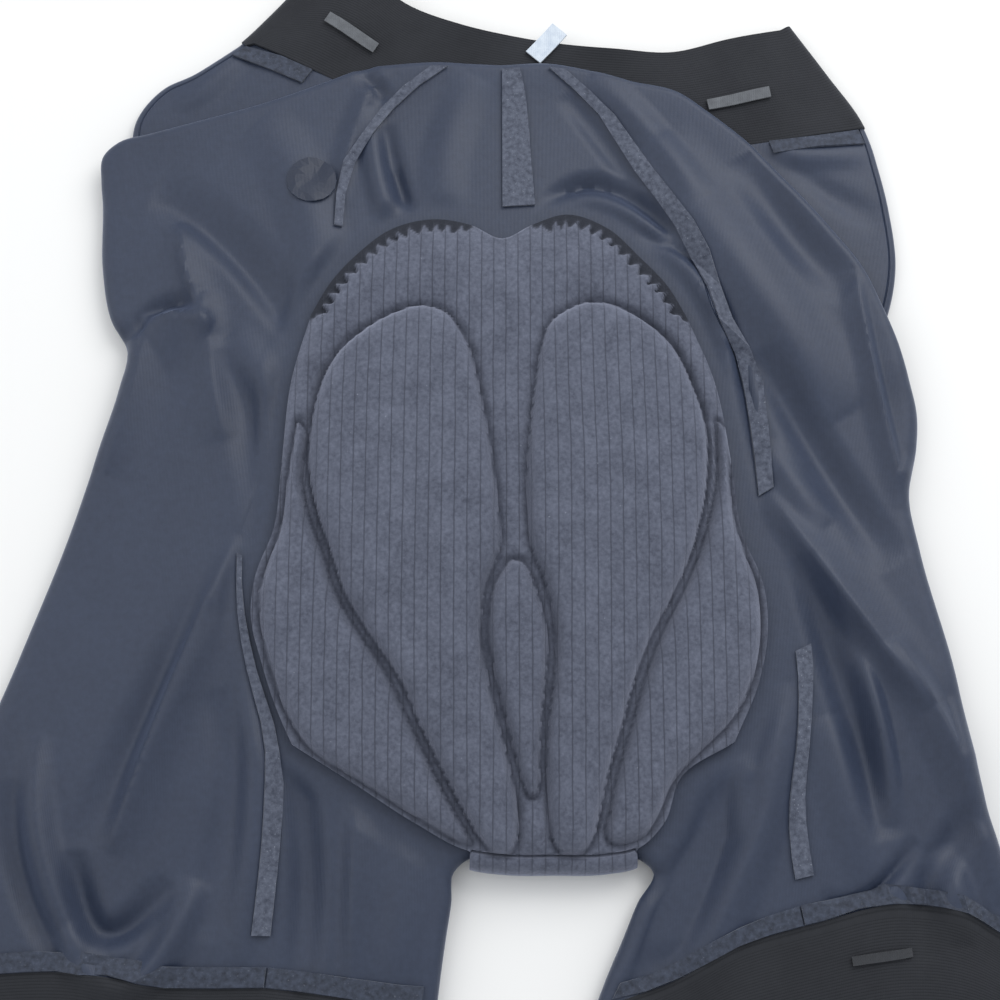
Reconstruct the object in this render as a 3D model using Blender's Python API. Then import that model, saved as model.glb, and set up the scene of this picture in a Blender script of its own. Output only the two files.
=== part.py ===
"""Cycling shorts turned inside out and laid flat, seat and pad upwards.

Lengths in the tables are millimetres.  X runs across the garment, Y from the legs to the waist and
Z up from the surface it lies on.  Every panel is a middle sheet that is given its wall at the end:
a patch between four smooth edges, lifted by one height function, with its outer edges rolled over.
"""
import math
from collections import namedtuple

import bmesh
import bpy
import numpy as np
from mathutils import Vector
from mathutils.bvhtree import BVHTree

# Driving sizes
MM = 0.001
CLOTH = 1.2
ELASTIC = 1.4
PAD_CLOTH = 3.0
SEAM_GAP = 0.3
SEAM_OPEN = 0.36
FRONT_OPEN = 1.2
SEAM_WIDTH = 7.5
SEAM_WALL = 1.0
WAIST_LEVEL = 5.0
FLAP_LEVEL = 11.0
LEG_LEVEL = 9.0
HEM_LEVEL = 7.5
ROLL_ANGLES = (48.0, 8.0, -34.0, -90.0)
PAD_CLEARANCE = 0.8
LOBE_CROWN = 5.5
LOBE_EDGE = 0.9
ORIGIN = (-1.24, -7.39)

# The upper layer over the pad and the layers below
PAD_MARGIN = 5.0
PAD_SHADOW = 9.0
LAYER_REACH = 44.0
UNDERLAY_MARGIN = 24.0
LEAST_OVER_LAYERS = 6.9
LEAST_OVER_FRONT = 3.2
FLAP_STIFFNESS = 3.0
HEM_START = -165.0
HEM_RUN = 60.0

# The waistband's waves: two troughs beside a crest, and a bulge at the left
WAVE_MIDDLE = 44.0
WAVE_HALF = 31.0
WAVE_RISE = 1.6
WAVE_SWING = 1.8
WAVE_FADE = (50.0, 60.0)
BULGE_MIDDLE = -62.0
BULGE_REACH = 18.0

# How finely each piece is divided
BACK_COLUMNS = 6
SIDE_COLUMNS = 12
HIP_ROWS = 15
LEG_ROWS = 16
GRIP_ROWS = 3
WAIST_ROWS = 3
WAIST_COLUMNS = 8
UPPER_ROWS = 6
FRONT_ROWS = 22
FRONT_COLUMNS = 7
PAD_ROWS = 15
PAD_COLUMNS = 16
TURN_COLUMNS = 6
CENTRE_CROWD = 1.5

# The pad's turn under the crotch, between two places across it, and its front half
PAD_TONGUE_ROLL = 5.0
PAD_RETURN_RISE = 3.5
CROTCH_TURN = (-11.0, 50.5)

# The hidden layers of the fold below the waist, as one slab
LAYERS_LOW = 1.8
LAYERS_HIGH = 5.7
LAYERS_WIDTH = 26.0
LAYERS_STEPS = 16

# Trims lie this far off the cloth
DISC_GAP = 0.7
TRIM_GAP = 0.7
LABEL_GAP = 0.4
GRIP_TRIM_GAP = 0.5
TRIM_WALL = 0.8

# Outer edges, read from the centre back along the fold below the waist and down the leg.
# roll is the edge's radius in plan, low the height where the rolled cloth ends, back how far it
# then runs inwards.
Edge = namedtuple("Edge", "x y roll low back")
EDGE_LEFT = (
    Edge(0.5, 186.6, 2.6, 6.6, 3),
    Edge(-12, 187.2, 2.6, 6.6, 3),
    Edge(-25, 188.0, 2.6, 6.6, 3),
    Edge(-42, 187.0, 2.6, 6.6, 3),
    Edge(-58, 184.6, 2.6, 6.6, 3),
    Edge(-70, 179.8, 2.6, 6.6, 3),
    Edge(-98, 169.0, 2.6, 6.6, 3),
    Edge(-123, 161.4, 2.6, 6.6, 3),
    Edge(-144, 155.4, 2.8, 6.6, 2),
    Edge(-156, 152.0, 3.4, 6.6, 0),
    Edge(-162.5, 146, 4.2, 5.2, 0),
    Edge(-163, 136, 5.5, 1.8, 5),
    Edge(-162, 126, 6, 0.6, 13),
    Edge(-160.5, 97.5, 6, 0.6, 14),
    Edge(-156, 76, 6, 0.6, 14),
    Edge(-148.5, 62, 5, 0.6, 14),
    Edge(-151, 46, 6, 0.6, 14),
    Edge(-158, 21, 6, 0.6, 14),
    Edge(-168, -15, 6, 0.6, 14),
    Edge(-184, -62, 6, 0.6, 14),
    Edge(-200, -108, 6, 0.6, 14),
    Edge(-206.5, -145, 6, 0.6, 14),
    Edge(-208, -181, 6, 0.6, 14),
)
EDGE_RIGHT = (
    Edge(0.5, 186.6, 2.6, 6.6, 3),
    Edge(20, 187.4, 2.6, 6.6, 3),
    Edge(38, 184.0, 2.6, 6.6, 3),
    Edge(54, 179.4, 2.6, 6.6, 3),
    Edge(73, 174.6, 2.6, 6.6, 3),
    Edge(86, 165.0, 2.6, 6.6, 3),
    Edge(99, 153.8, 2.6, 6.6, 3),
    Edge(117, 133.9, 2.6, 6.6, 3),
    Edge(135, 111.6, 2.6, 6.6, 3),
    Edge(145, 98.0, 2.6, 6.6, 2),
    Edge(153, 80.3, 3.0, 6.6, 0),
    Edge(158.5, 65, 4.0, 6.4, 0),
    Edge(162.5, 50, 5.5, 2.0, 0),
    Edge(165, 36, 6, 0.6, 4),
    Edge(164, 22, 6, 0.6, 12),
    Edge(160, 4, 6, 0.6, 14),
    Edge(163, -20, 6, 0.6, 14),
    Edge(173, -64, 6, 0.6, 14),
    Edge(181, -113, 6, 0.6, 14),
    Edge(189, -145, 6, 0.6, 14),
    Edge(194.6, -169, 6, 0.6, 14),
)
# The crotch and inner leg, from the middle of the crotch to the gripper seam
INNER_LEFT = (
    Edge(20, -137.5, 5, 4.1, 10),
    Edge(4, -137.5, 5, 4.1, 10),
    Edge(-12, -137.6, 5, 4.1, 10),
    Edge(-17.5, -142.5, 5, 4.1, 10),
    Edge(-18.5, -154, 5, 3.0, 10),
    Edge(-20.5, -167, 5, 0.8, 10),
    Edge(-22, -178, 5, 0.6, 10),
    Edge(-23.7, -192, 5, 0.6, 10),
)
INNER_RIGHT = (
    Edge(20, -137.5, 5, 4.1, 10),
    Edge(36, -137.5, 5, 4.1, 10),
    Edge(52, -137.6, 5, 4.1, 10),
    Edge(57.5, -142.5, 5, 4.1, 10),
    Edge(51.5, -154, 5, 3.0, 10),
    Edge(45.5, -168, 5, 0.8, 10),
    Edge(40.5, -179, 5, 0.6, 10),
    Edge(36, -190, 5, 0.6, 10),
)
# Seam lines on the upper layer
Point = namedtuple("Point", "x y")
CORNER_LEFT = (-161, 149)
CORNER_RIGHT = (78, 171.5)
CENTRE_SEAM = (Point(0.5, 184), Point(0.8, 110), Point(3, 10), Point(11, -80), Point(20, -132.5))
LONG_SEAM_LEFT = (
    Point(-21.5, 185.3), Point(-40, 171), Point(-51, 156), Point(-60, 141), Point(-64.5, 108),
    Point(-76, 69), Point(-89, 24), Point(-100, -12),
)
LEG_SEAM_LEFT = (
    Point(-100, -12), Point(-98, -42), Point(-92.5, -66), Point(-83, -95), Point(-81.5, -125),
    Point(-83.5, -160), Point(-86, -184.6),
)
LONG_SEAM_RIGHT = (
    Point(19, 184.8), Point(37, 169), Point(56, 138), Point(75, 107), Point(84, 78), Point(95, 52),
    Point(99, 20), Point(101, -14),
)
LEG_SEAM_RIGHT = (
    Point(101, -14), Point(107, -38), Point(112.5, -62), Point(111.5, -90), Point(107, -122),
    Point(109, -146), Point(112, -162.5),
)
GRIP_SEAM_LEFT = (Point(-202, -181), Point(-160, -179), Point(-120, -184.5), Point(-86, -184.6))
GRIP_SEAM_LEFT_INNER = (Point(-86, -184.6), Point(-58, -188), Point(-28.5, -192))
GRIP_SEAM_RIGHT = (Point(189, -168), Point(170, -157.5), Point(150, -154.5), Point(112, -162.5))
GRIP_SEAM_RIGHT_INNER = (Point(112, -162.5), Point(88, -169.5), Point(62, -183), Point(41, -190))
HEM_LEFT = (Point(-205, -238), Point(-140, -239), Point(-34, -247))
HEM_RIGHT = (Point(201, -224), Point(165, -215), Point(115, -221), Point(28, -246))
WAIST_SEAM = (
    Point(-104, 199), Point(-90, 192.8), Point(-66, 181), Point(-41, 169), Point(0.5, 153.5),
    Point(30, 148.7), Point(65, 149.3), Point(105, 153.4), Point(147.5, 159.5),
)
WAIST_TOP = (
    Point(-84, 220), Point(-76, 229), Point(-66, 233), Point(-55, 229), Point(-40, 217),
    Point(-17, 207.5), Point(10, 201.5), Point(46, 196.4), Point(70, 195), Point(95, 200),
    Point(118.5, 204.6),
)
UPPER_END = (
    Point(-148, 143), Point(-120, 141), Point(-60, 142), Point(0.5, 133), Point(70, 124), Point(120, 82),
    Point(146, 62),
)

# Rows of the side panel where its seam allowance shows, and how far the others show
Shown = namedtuple("Shown", "upper_end lower_start")
SEAM_SHOWN = {"left": Shown(7, 16), "right": Shown(15, 20)}
WAIST_SEAM_SHOWN = 3
CENTRE_SEAM_END = 118.0

# Broad rises of the upper layer
Hill = namedtuple("Hill", "name x y reach_x reach_y rise")
HILLS = (
    Hill("seat", 3, -22, 74, 96, 9.0),
    Hill("left_hip", -105, 112, 45, 45, 2.5),
    Hill("right_hip", 100, 90, 45, 55, 4.0),
    Hill("left_thigh", -135, -90, 42, 80, 3.0),
    Hill("right_thigh", 145, -70, 38, 75, 3.0),
)
# Folds: spine through three points, rise, half widths to the left and right of the spine's
# direction, and how crisp the crest is, from 0 to 1
Fold = namedtuple("Fold", "name start middle end rise left right crisp")
FOLDS = (
    Fold("hip_valley", (-142, 127), (-111, 106), (-79, 63), -5.5, 17, 9, 0.2),
    Fold("hip_ridge", (-100, 160), (-78, 123), (-72, 69), 3.5, 16, 16, 0),
    Fold("hip_crease", (-129, 116), (-126, 95), (-116, 67), 4.5, 14, 7, 0.9),
    Fold("hip_crease_low", (-118, 86), (-115, 57), (-109, 24), 4, 10, 14, 0.7),
    Fold("tuck_crest", (-143, 73), (-130, 76), (-114, 72), 5, 5, 30, 0.8),
    Fold("tuck_valley", (-148, 66), (-134, 79), (-119, 81), -3.5, 8, 4, 0.3),
    Fold("tuck_side", (-140, 77), (-144, 57), (-156, 11), 4, 18, 5, 0.5),
    Fold("thigh_soft", (-109, 67), (-92, 49), (-74, 24), 3, 12, 12, 0),
    Fold("thigh_valley", (-110, 63), (-98, 28), (-92, -17), -3.5, 9, 12, 0.2),
    Fold("edge_dent", (-59, 188), (-53, 179), (-46, 170), -4, 5, 5, 0.3),
    Fold("seam_ridge", (-48, 183), (-58, 163), (-66, 125), 3, 6, 8, 0.7),
    Fold("leg_ridge", (-102, -15), (-125, -77), (-145, -136), 7, 16, 8, 0.8),
    Fold("leg_valley", (-113, -40), (-136, -90), (-154, -135), -3.5, 9, 12, 0.2),
    Fold("hook_down", (-174, -92), (-170, -135), (-153, -173), 7, 10, 9, 0.4),
    Fold("hook_round", (-161, -164), (-135, -184), (-112, -146), 6.5, 9, 9, 0.4),
    Fold("hook_outer", (-183, -109), (-179, -142), (-160, -178), -4, 8, 8, 0),
    Fold("hook_inner", (-158, -135), (-146, -165), (-122, -146), -6, 9, 8, 0.2),
    Fold("leg_hollow", (-108, -75), (-102, -113), (-109, -168), -3, 10, 10, 0),
    Fold("seam_swell", (-98, -52), (-91, -105), (-95, -176), 3, 7, 9, 0),
    Fold("inner_hollow", (-81, -87), (-72, -139), (-75, -192), -5, 10, 10, 0),
    Fold("inner_ridge", (-53, -105), (-54, -146), (-54, -190), 4, 14, 7, 0.5),
    Fold("inner_soft", (-37, -128), (-37, -160), (-42, -192), 2.5, 14, 14, 0),
    Fold("pad_side_ridge", (-73, 103), (-85, 44), (-103, -17), 3.5, 5, 14, 0.6),
    Fold("seat_left_ridge", (-53, 167), (-50, 136), (-40, 106), 4, 7, 7, 0.1),
    Fold("seat_left_valley", (-47, 160), (-41, 134), (-31, 108), -4, 5, 6, 0.1),
    Fold("seat_soft", (-10, 181), (-22, 147), (-21, 118), 2.2, 12, 12, 0),
    Fold("pad_top_valley", (14, 116), (41, 133), (74, 106), -5, 7, 6, 0.2),
    Fold("pad_top_band", (24, 122), (47, 122), (76, 97), 3, 5, 5, 0.3),
    Fold("pad_corner_valley", (54, 110), (69, 105), (83, 93), -3.5, 5, 5, 0.1),
    Fold("pad_corner_ridge", (60, 103), (80, 86), (91, 48), 4.5, 7, 7, 0.1),
    Fold("pad_right_valley", (78, 96), (93, 63), (98, 3), -5, 5, 5, 0.2),
    Fold("pad_right_ridge", (93, 34), (96, 11), (97, -13), 3, 4, 4, 0),
    Fold("seat_right_dip", (27, 174), (43, 152), (57, 130), -3, 6, 8, 0),
    Fold("hip_right_soft", (37, 181), (61, 156), (81, 125), 3, 10, 8, 0),
    Fold("hip_right_ridge", (61, 152), (98, 93), (136, 34), 6, 22, 18, 0),
    Fold("hip_right_valley", (99, 145), (121, 108), (141, 86), -5, 12, 12, 0),
    Fold("thigh_right_valley", (104, 61), (123, 22), (151, -27), -6, 12, 11, 0.1),
    Fold("hip_right_crest", (143, 95), (147, 57), (158, -3), 4.5, 4.5, 9, 0.8),
    Fold("thigh_right_bump", (105, 22), (115, 5), (127, -11), 3, 8, 8, 0),
    Fold("leg_right_ridge", (104, 3), (132, -40), (162, -82), 8, 18, 9, 0.7),
    Fold("leg_right_crest", (149, -56), (174, -104), (188, -155), 7, 8, 14, 0.6),
    Fold("leg_right_valley", (116, -23), (132, -79), (145, -131), -6, 10, 11, 0.1),
    Fold("leg_right_tuck", (137, -62), (144, -96), (146, -126), 5, 6, 7, 0.3),
    Fold("leg_right_soft", (124, -85), (129, -117), (137, -148), 3, 11, 11, 0),
    Fold("grip_right_valley", (118, -152), (136, -151), (155, -131), -4, 5, 5, 0.3),
    Fold("grip_right_ridge", (161, -135), (168, -151), (170, -169), 4, 10, 10, 0),
    Fold("grip_right_hollow", (181, -117), (160, -146), (155, -175), -4, 9, 9, 0),
    Fold("inner_right_hollow", (91, -104), (74, -140), (51, -190), -6, 16, 16, 0),
    Fold("inner_right_ridge", (105, -73), (97, -124), (69, -184), 5, 12, 14, 0.2),
    Fold("inner_right_bump", (90, -90), (90, -109), (87, -130), 2.5, 7, 7, 0),
    Fold("inner_right_soft", (57, -146), (51, -160), (42, -185), 2, 6, 6, 0),
)
# The pad
PAD_TOP = (
    Point(-75, 75), Point(-68, 88), Point(-58, 100), Point(-43, 112), Point(-26, 116), Point(-12, 113.5),
    Point(1, 107.5), Point(13, 113.5), Point(27, 118), Point(43, 112), Point(56, 99), Point(67, 86),
    Point(74, 73),
)
PAD_LEFT = (
    Point(-75, 75), Point(-82, 48), Point(-85, 12), Point(-87, -12), Point(-94, -33), Point(-95, -46),
    Point(-90, -66), Point(-84, -83), Point(-78, -96),
)
PAD_RIGHT = (
    Point(74, 73), Point(84, 47), Point(90, 12), Point(93, -14), Point(101, -36), Point(102, -50),
    Point(98, -72), Point(88, -95),
)
PAD_FOLD = (
    Point(-78, -96), Point(-54, -111), Point(-32, -125), Point(-11, -135.5), Point(2, -137.3),
    Point(20, -137.5), Point(40, -137), Point(50.5, -134.8), Point(61, -125), Point(67, -109),
    Point(88, -95),
)
Row = namedtuple("Row", "y left right")
LOBE_LEFT = (
    Row(78, -35, -28), Row(75, -43, -21), Row(69, -53, -16.5), Row(60, -63, -12), Row(47, -70, -9),
    Row(30, -73.5, -5.5), Row(10, -74, -2.5), Row(-8, -70, -0.5), Row(-22, -65, 0), Row(-38, -59.5, -5.5),
    Row(-54, -50, -7), Row(-74, -36.5, -4), Row(-90, -29.5, 0), Row(-106, -21.5, 4), Row(-122, -13, 6.5),
    Row(-133, -6, 6), Row(-137, -2, 4),
)
LOBE_RIGHT = (
    Row(79, 32, 42), Row(76, 26, 50), Row(71, 20, 58), Row(61, 16.3, 68), Row(46, 14, 75),
    Row(29, 12, 80), Row(11, 10.5, 80.5), Row(-6, 10.5, 78), Row(-22, 12, 73.5), Row(-38, 18, 66.5),
    Row(-56, 21, 57), Row(-74, 20, 50), Row(-90, 18, 45.5), Row(-108, 17.5, 40), Row(-124, 18.5, 36.5),
    Row(-134, 20.5, 33), Row(-137, 24, 29.5),
)
KEEL = (
    Row(-27, 3.5, 8), Row(-36, -2, 13), Row(-46, -4, 16), Row(-58, -4, 18), Row(-72, -1.5, 17.2),
    Row(-88, 2.5, 15.5), Row(-102, 6, 15), Row(-112, 9, 14.5), Row(-116, 11, 13),
)
WING_LEFT = (
    Row(30, -79.5, -78), Row(6, -82.5, -77), Row(-10, -84, -73), Row(-24, -88, -67.5), Row(-38, -92, -62.8),
    Row(-54, -90.5, -53.5), Row(-70, -86, -42.5), Row(-86, -79.5, -35), Row(-98, -71, -29), Row(-110, -52, -23),
    Row(-122, -33, -16.5), Row(-130, -19.5, -11.5), Row(-133, -14, -10),
)
WING_RIGHT = (
    Row(30, 84, 85.5), Row(6, 84, 89), Row(-10, 80.5, 90.5), Row(-24, 76, 94.5), Row(-38, 70, 98.5),
    Row(-54, 61.5, 99), Row(-70, 55, 96), Row(-86, 50.3, 88), Row(-98, 46.5, 76), Row(-110, 43, 64.5),
    Row(-122, 40.5, 59), Row(-129, 39, 54.5), Row(-132, 40, 49),
)
# Folds of the stretch between the waistband and the flap
UPPER_FOLDS = (
    Fold("right_swell", (98, 151), (128, 148), (152, 150), 2.5, 8, 8, 0),
    Fold("right_dip", (112, 140), (132, 132), (156, 118), -1.8, 9, 9, 0),
    Fold("left_swell", (-108, 196), (-122, 180), (-132, 168), 2.2, 9, 9, 0),
)
# Outer edges of the waistband and of the stretch below it
EDGE_WAIST_LEFT = (
    Edge(-87, 223, 3, 0.7, 0), Edge(-97, 211.5, 3, 0.7, 0), Edge(-108, 199.8, 3, 0.6, 9),
    Edge(-126, 186, 3, 0.6, 9), Edge(-140, 179, 3, 0.6, 9), Edge(-150.5, 165, 3, 0.6, 9),
    Edge(-152, 147, 3, 0.6, 9),
)
EDGE_WAIST_RIGHT = (
    Edge(121.5, 207, 3, 0.7, 0), Edge(136, 185, 3, 0.7, 0), Edge(150.7, 160.8, 3, 0.6, 9),
    Edge(156, 141, 3, 0.6, 9), Edge(159.5, 120, 3, 0.6, 9), Edge(160.5, 100, 3, 0.6, 9),
    Edge(156.5, 80, 3, 0.6, 9), Edge(149, 63, 3, 0.6, 9),
)
# Outer edges of the grippers, from their seams to the hems
EDGE_GRIP_LEFT = (Edge(-208, -181, 6, 0.7, 0), Edge(-208.5, -210, 5, 0.7, 0), Edge(-207, -238, 4, 0.7, 0))
EDGE_GRIP_RIGHT = (Edge(194.6, -169, 6, 0.7, 0), Edge(200, -196, 5, 0.7, 0), Edge(206, -224, 4, 0.7, 0))
INNER_GRIP_LEFT = (Edge(-23.7, -192, 5, 0.7, 0), Edge(-27, -220, 4.5, 0.7, 0), Edge(-30.5, -247, 4, 0.7, 0))
INNER_GRIP_RIGHT = (Edge(36, -190, 5, 0.7, 0), Edge(30, -219, 4.5, 0.7, 0), Edge(24, -246, 4, 0.7, 0))
# The pad's front half, folded under the crotch: half width to the left and right, going forward
PAD_RETURN = (
    Row(-137.5, -11, 50.5), Row(-128, -14, 54), Row(-112, -22, 62), Row(-90, -22, 62), Row(-66, -18, 58),
    Row(-46, -10, 50), Row(-34, 2, 38),
)

# Plates that lie on the cloth: centre, size, angle and what they lie on
Trim = namedtuple("Trim", "name x y length width angle ground colour")
TRIMS = (
    Trim("pad_label", 1.5, 84.5, 28, 14, 0, "pad", "pad"),
    Trim("waist_tab_left", -62, 203, 24, 4.6, -33, "waist", "seam"),
    Trim("waist_tab_right", 99, 173, 26, 4.6, 11, "waist", "seam"),
    Trim("care_label", 19.5, 198.5, 17, 8, 48, "waist", "label"),
    Trim("grip_tab", 140, -173.5, 22, 3.4, 8, "leg", "seam"),
)
TRIM_CELLS = (5, 2)
PATCH_CENTRE = (-76.5, 133.5)
PATCH_RADIUS = 10.0

PLAIN = {
    "navy": (0.036, 0.052, 0.098, 1), "navy_lower": (0.030, 0.043, 0.082, 1),
    "elastic": (0.010, 0.011, 0.014, 1), "pad": (0.052, 0.060, 0.088, 1),
    "seam": (0.020, 0.026, 0.042, 1), "label": (0.55, 0.60, 0.68, 1),
}


# Smooth curves
def columns(rows):
    return np.array([tuple(row) for row in rows], float)


def lengths(points):
    steps = np.hypot(*np.diff(points[:, :2], axis=0).T)
    return np.concatenate([[0.0], np.cumsum(steps)])


def smooth(rows, fine=10):
    """A dense curve through the rows: place is cubic, every other column is read straight."""
    data = columns(rows)
    reach = lengths(data)
    slope = np.gradient(data[:, :2], reach, axis=0)
    curve = []
    for first in range(len(data) - 1):
        span = reach[first + 1] - reach[first]
        share = np.linspace(0, 1, fine, endpoint=False)[:, None]
        near, far = data[first], data[first + 1]
        place = (2 * share**3 - 3 * share**2 + 1) * near[:2] + (3 * share**2 - 2 * share**3) * far[:2]
        place += (share**3 - 2 * share**2 + share) * span * slope[first]
        place += (share**3 - share**2) * span * slope[first + 1]
        curve.append(np.hstack([place, near[2:] + share * (far[2:] - near[2:])]))
    curve.append(data[-1:])
    return np.vstack(curve)


def read_at(curve, places):
    reach = lengths(curve)
    return np.stack([np.interp(places, reach, column) for column in curve.T], axis=1)


def stations(curve, count, first=None, last=None, crowd=1.0):
    """count steps along a dense curve, even but for a first or last step of a set size.

    A crowd above 1 makes the first steps shorter.
    """
    total = lengths(curve)[-1]
    low = first if first else 0.0
    high = total - last if last else total
    inner = count - (1 if first else 0) - (1 if last else 0)
    places = list(low + (high - low) * np.linspace(0, 1, inner + 1)**crowd)
    if first:
        places.insert(0, 0.0)
    if last:
        places.append(total)
    return read_at(curve, np.array(places))


def nearest(curve, x, y):
    return int(np.argmin(np.hypot(curve[:, 0] - x, curve[:, 1] - y)))


def outward(curve, side, window=3):
    """Unit directions square to a dense curve; side is 1 where they lie to its left."""
    ahead = np.vstack([curve[window:, :2], np.repeat(curve[-1:, :2], window, axis=0)])
    behind = np.vstack([np.repeat(curve[:1, :2], window, axis=0), curve[:-window, :2]])
    run = ahead - behind
    run /= np.linalg.norm(run, axis=1)[:, None]
    return side * np.stack([-run[:, 1], run[:, 0]], axis=1)


def edge_curve(rows, side, start=None):
    """A dense outer edge with columns x, y, roll, low, back and its outward direction."""
    curve = smooth(rows)
    away = outward(curve, side)
    if start:
        away[0] = start
    return np.hstack([curve, away])


def turn_in(edge):
    """The line where the roll of an edge begins, on top of the garment."""
    return edge[:, :2] - edge[:, 5:7] * edge[:, 2:3]


def turn_end(edge, gap=2.0):
    """The line just inside the end of the cloth that an edge rolls under."""
    return edge[:, :2] - edge[:, 5:7] * (edge[:, 2:3] + edge[:, 4:5] + gap)


# Heights of the upper layer
def bend(start, middle, end, count=12):
    share = np.linspace(0, 1, count)[:, None]
    start, middle, end = (np.array(point, float) for point in (start, middle, end))
    control = 2 * middle - (start + end) / 2
    return (1 - share)**2 * start + 2 * share * (1 - share) * control + share**2 * end


def line_distance(x, y, line):
    """Distance to a polyline, the share of the way along it and the side, left being positive."""
    best = np.full(x.shape, np.inf)
    share = np.zeros(x.shape)
    side = np.ones(x.shape)
    total = lengths(line)
    for index in range(len(line) - 1):
        run = line[index + 1, :2] - line[index, :2]
        size = max(float(run @ run), 1e-9)
        part = np.clip(((x - line[index, 0]) * run[0] + (y - line[index, 1]) * run[1]) / size, 0, 1)
        off_x, off_y = x - line[index, 0] - part * run[0], y - line[index, 1] - part * run[1]
        gap = np.hypot(off_x, off_y)
        closer = gap < best
        best = np.where(closer, gap, best)
        share = np.where(closer, (total[index] + part * math.sqrt(size)) / total[-1], share)
        side = np.where(closer, np.where(run[0] * off_y - run[1] * off_x >= 0, 1.0, -1.0), side)
    return best, share, side


def fold_height(fold, x, y):
    gap, share, side = line_distance(x, y, bend(fold.start, fold.middle, fold.end))
    ratio = np.clip(gap / np.where(side > 0, fold.left, fold.right), 0, 1)
    bell = 0.5 * (1 + np.cos(math.pi * ratio))
    crest = (1 - ratio)**2
    return fold.rise * np.sin(math.pi * share)**0.7 * ((1 - fold.crisp) * bell + fold.crisp * crest)


def inside(x, y, outline):
    """How far a point lies inside a closed outline, negative outside it."""
    gap, _, _ = line_distance(x, y, np.vstack([outline, outline[:1]]))
    crossing = np.zeros(x.shape, int)
    for near, far in zip(outline, np.roll(outline, -1, axis=0)):
        spans = (near[1] > y) != (far[1] > y)
        rise = far[1] - near[1] if far[1] != near[1] else 1e-9
        crossing += spans & (x < (far[0] - near[0]) * (y - near[1]) / rise + near[0])
    return np.where(crossing % 2 == 1, gap, -gap)


def ease(value):
    value = np.clip(value, 0, 1)
    return value * value * (3 - 2 * value)


FLAP_LINE = np.vstack([smooth(EDGE_LEFT)[90::-1, :2], smooth(EDGE_RIGHT)[1:115, :2]])
PAD_OUTLINE = np.vstack([
    smooth(PAD_TOP, 3), smooth(PAD_RIGHT, 3)[1:], smooth(PAD_FOLD, 3)[::-1][1:], smooth(PAD_LEFT, 3)[::-1][1:-1]])


def height(x, y):
    """Middle of the upper layer's cloth above the surface."""
    x, y = np.asarray(x, float), np.asarray(y, float)
    flap, _, _ = line_distance(x, y, FLAP_LINE)
    near_flap = np.exp(-(flap / 14)**2)
    level = LEG_LEVEL + (FLAP_LEVEL - LEG_LEVEL) * near_flap
    level = level + (HEM_LEVEL - LEG_LEVEL) * ease((HEM_START - y) / HEM_RUN)
    for hill in HILLS:
        off = ((x - hill.x) / hill.reach_x)**2 + ((y - hill.y) / hill.reach_y)**2
        level = level + hill.rise * np.exp(-off)
    folds = sum(fold_height(fold, x, y) for fold in FOLDS)
    level = level + folds * ease((-inside(x, y, PAD_OUTLINE) - PAD_MARGIN) / PAD_SHADOW)
    least = LEAST_OVER_FRONT + (LEAST_OVER_LAYERS - LEAST_OVER_FRONT) * ease((LAYER_REACH + 8 - flap) / 8)
    least = least + FLAP_STIFFNESS * np.exp(-(flap / 7)**2)
    least = least + underlay(x, y)
    return least + np.log1p(np.exp((level - least) * 2.0)) / 2.0


def underlay(x, y):
    """How far the pad's front half lifts the cloth that lies on it."""
    low, high = PAD_RETURN[-1].y, PAD_RETURN[0].y - PAD_TONGUE_ROLL
    middle_x, middle_y = 20.0, (low + high) / 2
    off_x = np.clip(np.abs(np.asarray(x, float) - middle_x) - 42, 0, None)
    off_y = np.clip(np.abs(np.asarray(y, float) - middle_y) - abs(high - low) / 2, 0, None)
    return PAD_RETURN_RISE * ease(1 - (np.hypot(off_x, off_y) - UNDERLAY_MARGIN) / 16)


def upper_height(x, y):
    """Middle of the stretch between the waistband and the flap."""
    x, y = np.asarray(x, float), np.asarray(y, float)
    flap, _, side = line_distance(x, y, FLAP_LINE)
    clear = ease((np.where(side > 0, flap, 0) - 3) / 10)
    return WAIST_LEVEL + clear * sum(fold_height(fold, x, y) for fold in UPPER_FOLDS)


def waist_height(x, y):
    """Middle of the waistband's upper wall, which waves above the flap."""
    x, y = np.asarray(x, float), np.asarray(y, float)
    flap, _, side = line_distance(x, y, FLAP_LINE)
    free = ease((np.where(side > 0, flap, 0) - 4) / 22)
    swing = np.cos((x - WAVE_MIDDLE) / WAVE_HALF * math.pi) * np.exp(-((x - WAVE_FADE[0]) / WAVE_FADE[1])**2)
    bulge = np.exp(-((x - BULGE_MIDDLE) / BULGE_REACH)**2)
    return WAIST_LEVEL + free * (WAVE_RISE + WAVE_SWING * (swing + bulge))


def surface(level, x, y, step=1.5):
    """Points on a height function and their upward normals."""
    x, y = np.asarray(x, float), np.asarray(y, float)
    across = (level(x + step, y) - level(x - step, y)) / (2 * step)
    along = (level(x, y + step) - level(x, y - step)) / (2 * step)
    normal = np.stack([-across, -along, np.ones_like(across)], axis=-1)
    normal /= np.linalg.norm(normal, axis=-1)[..., None]
    return np.stack([x, y, level(x, y)], axis=-1), normal


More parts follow.
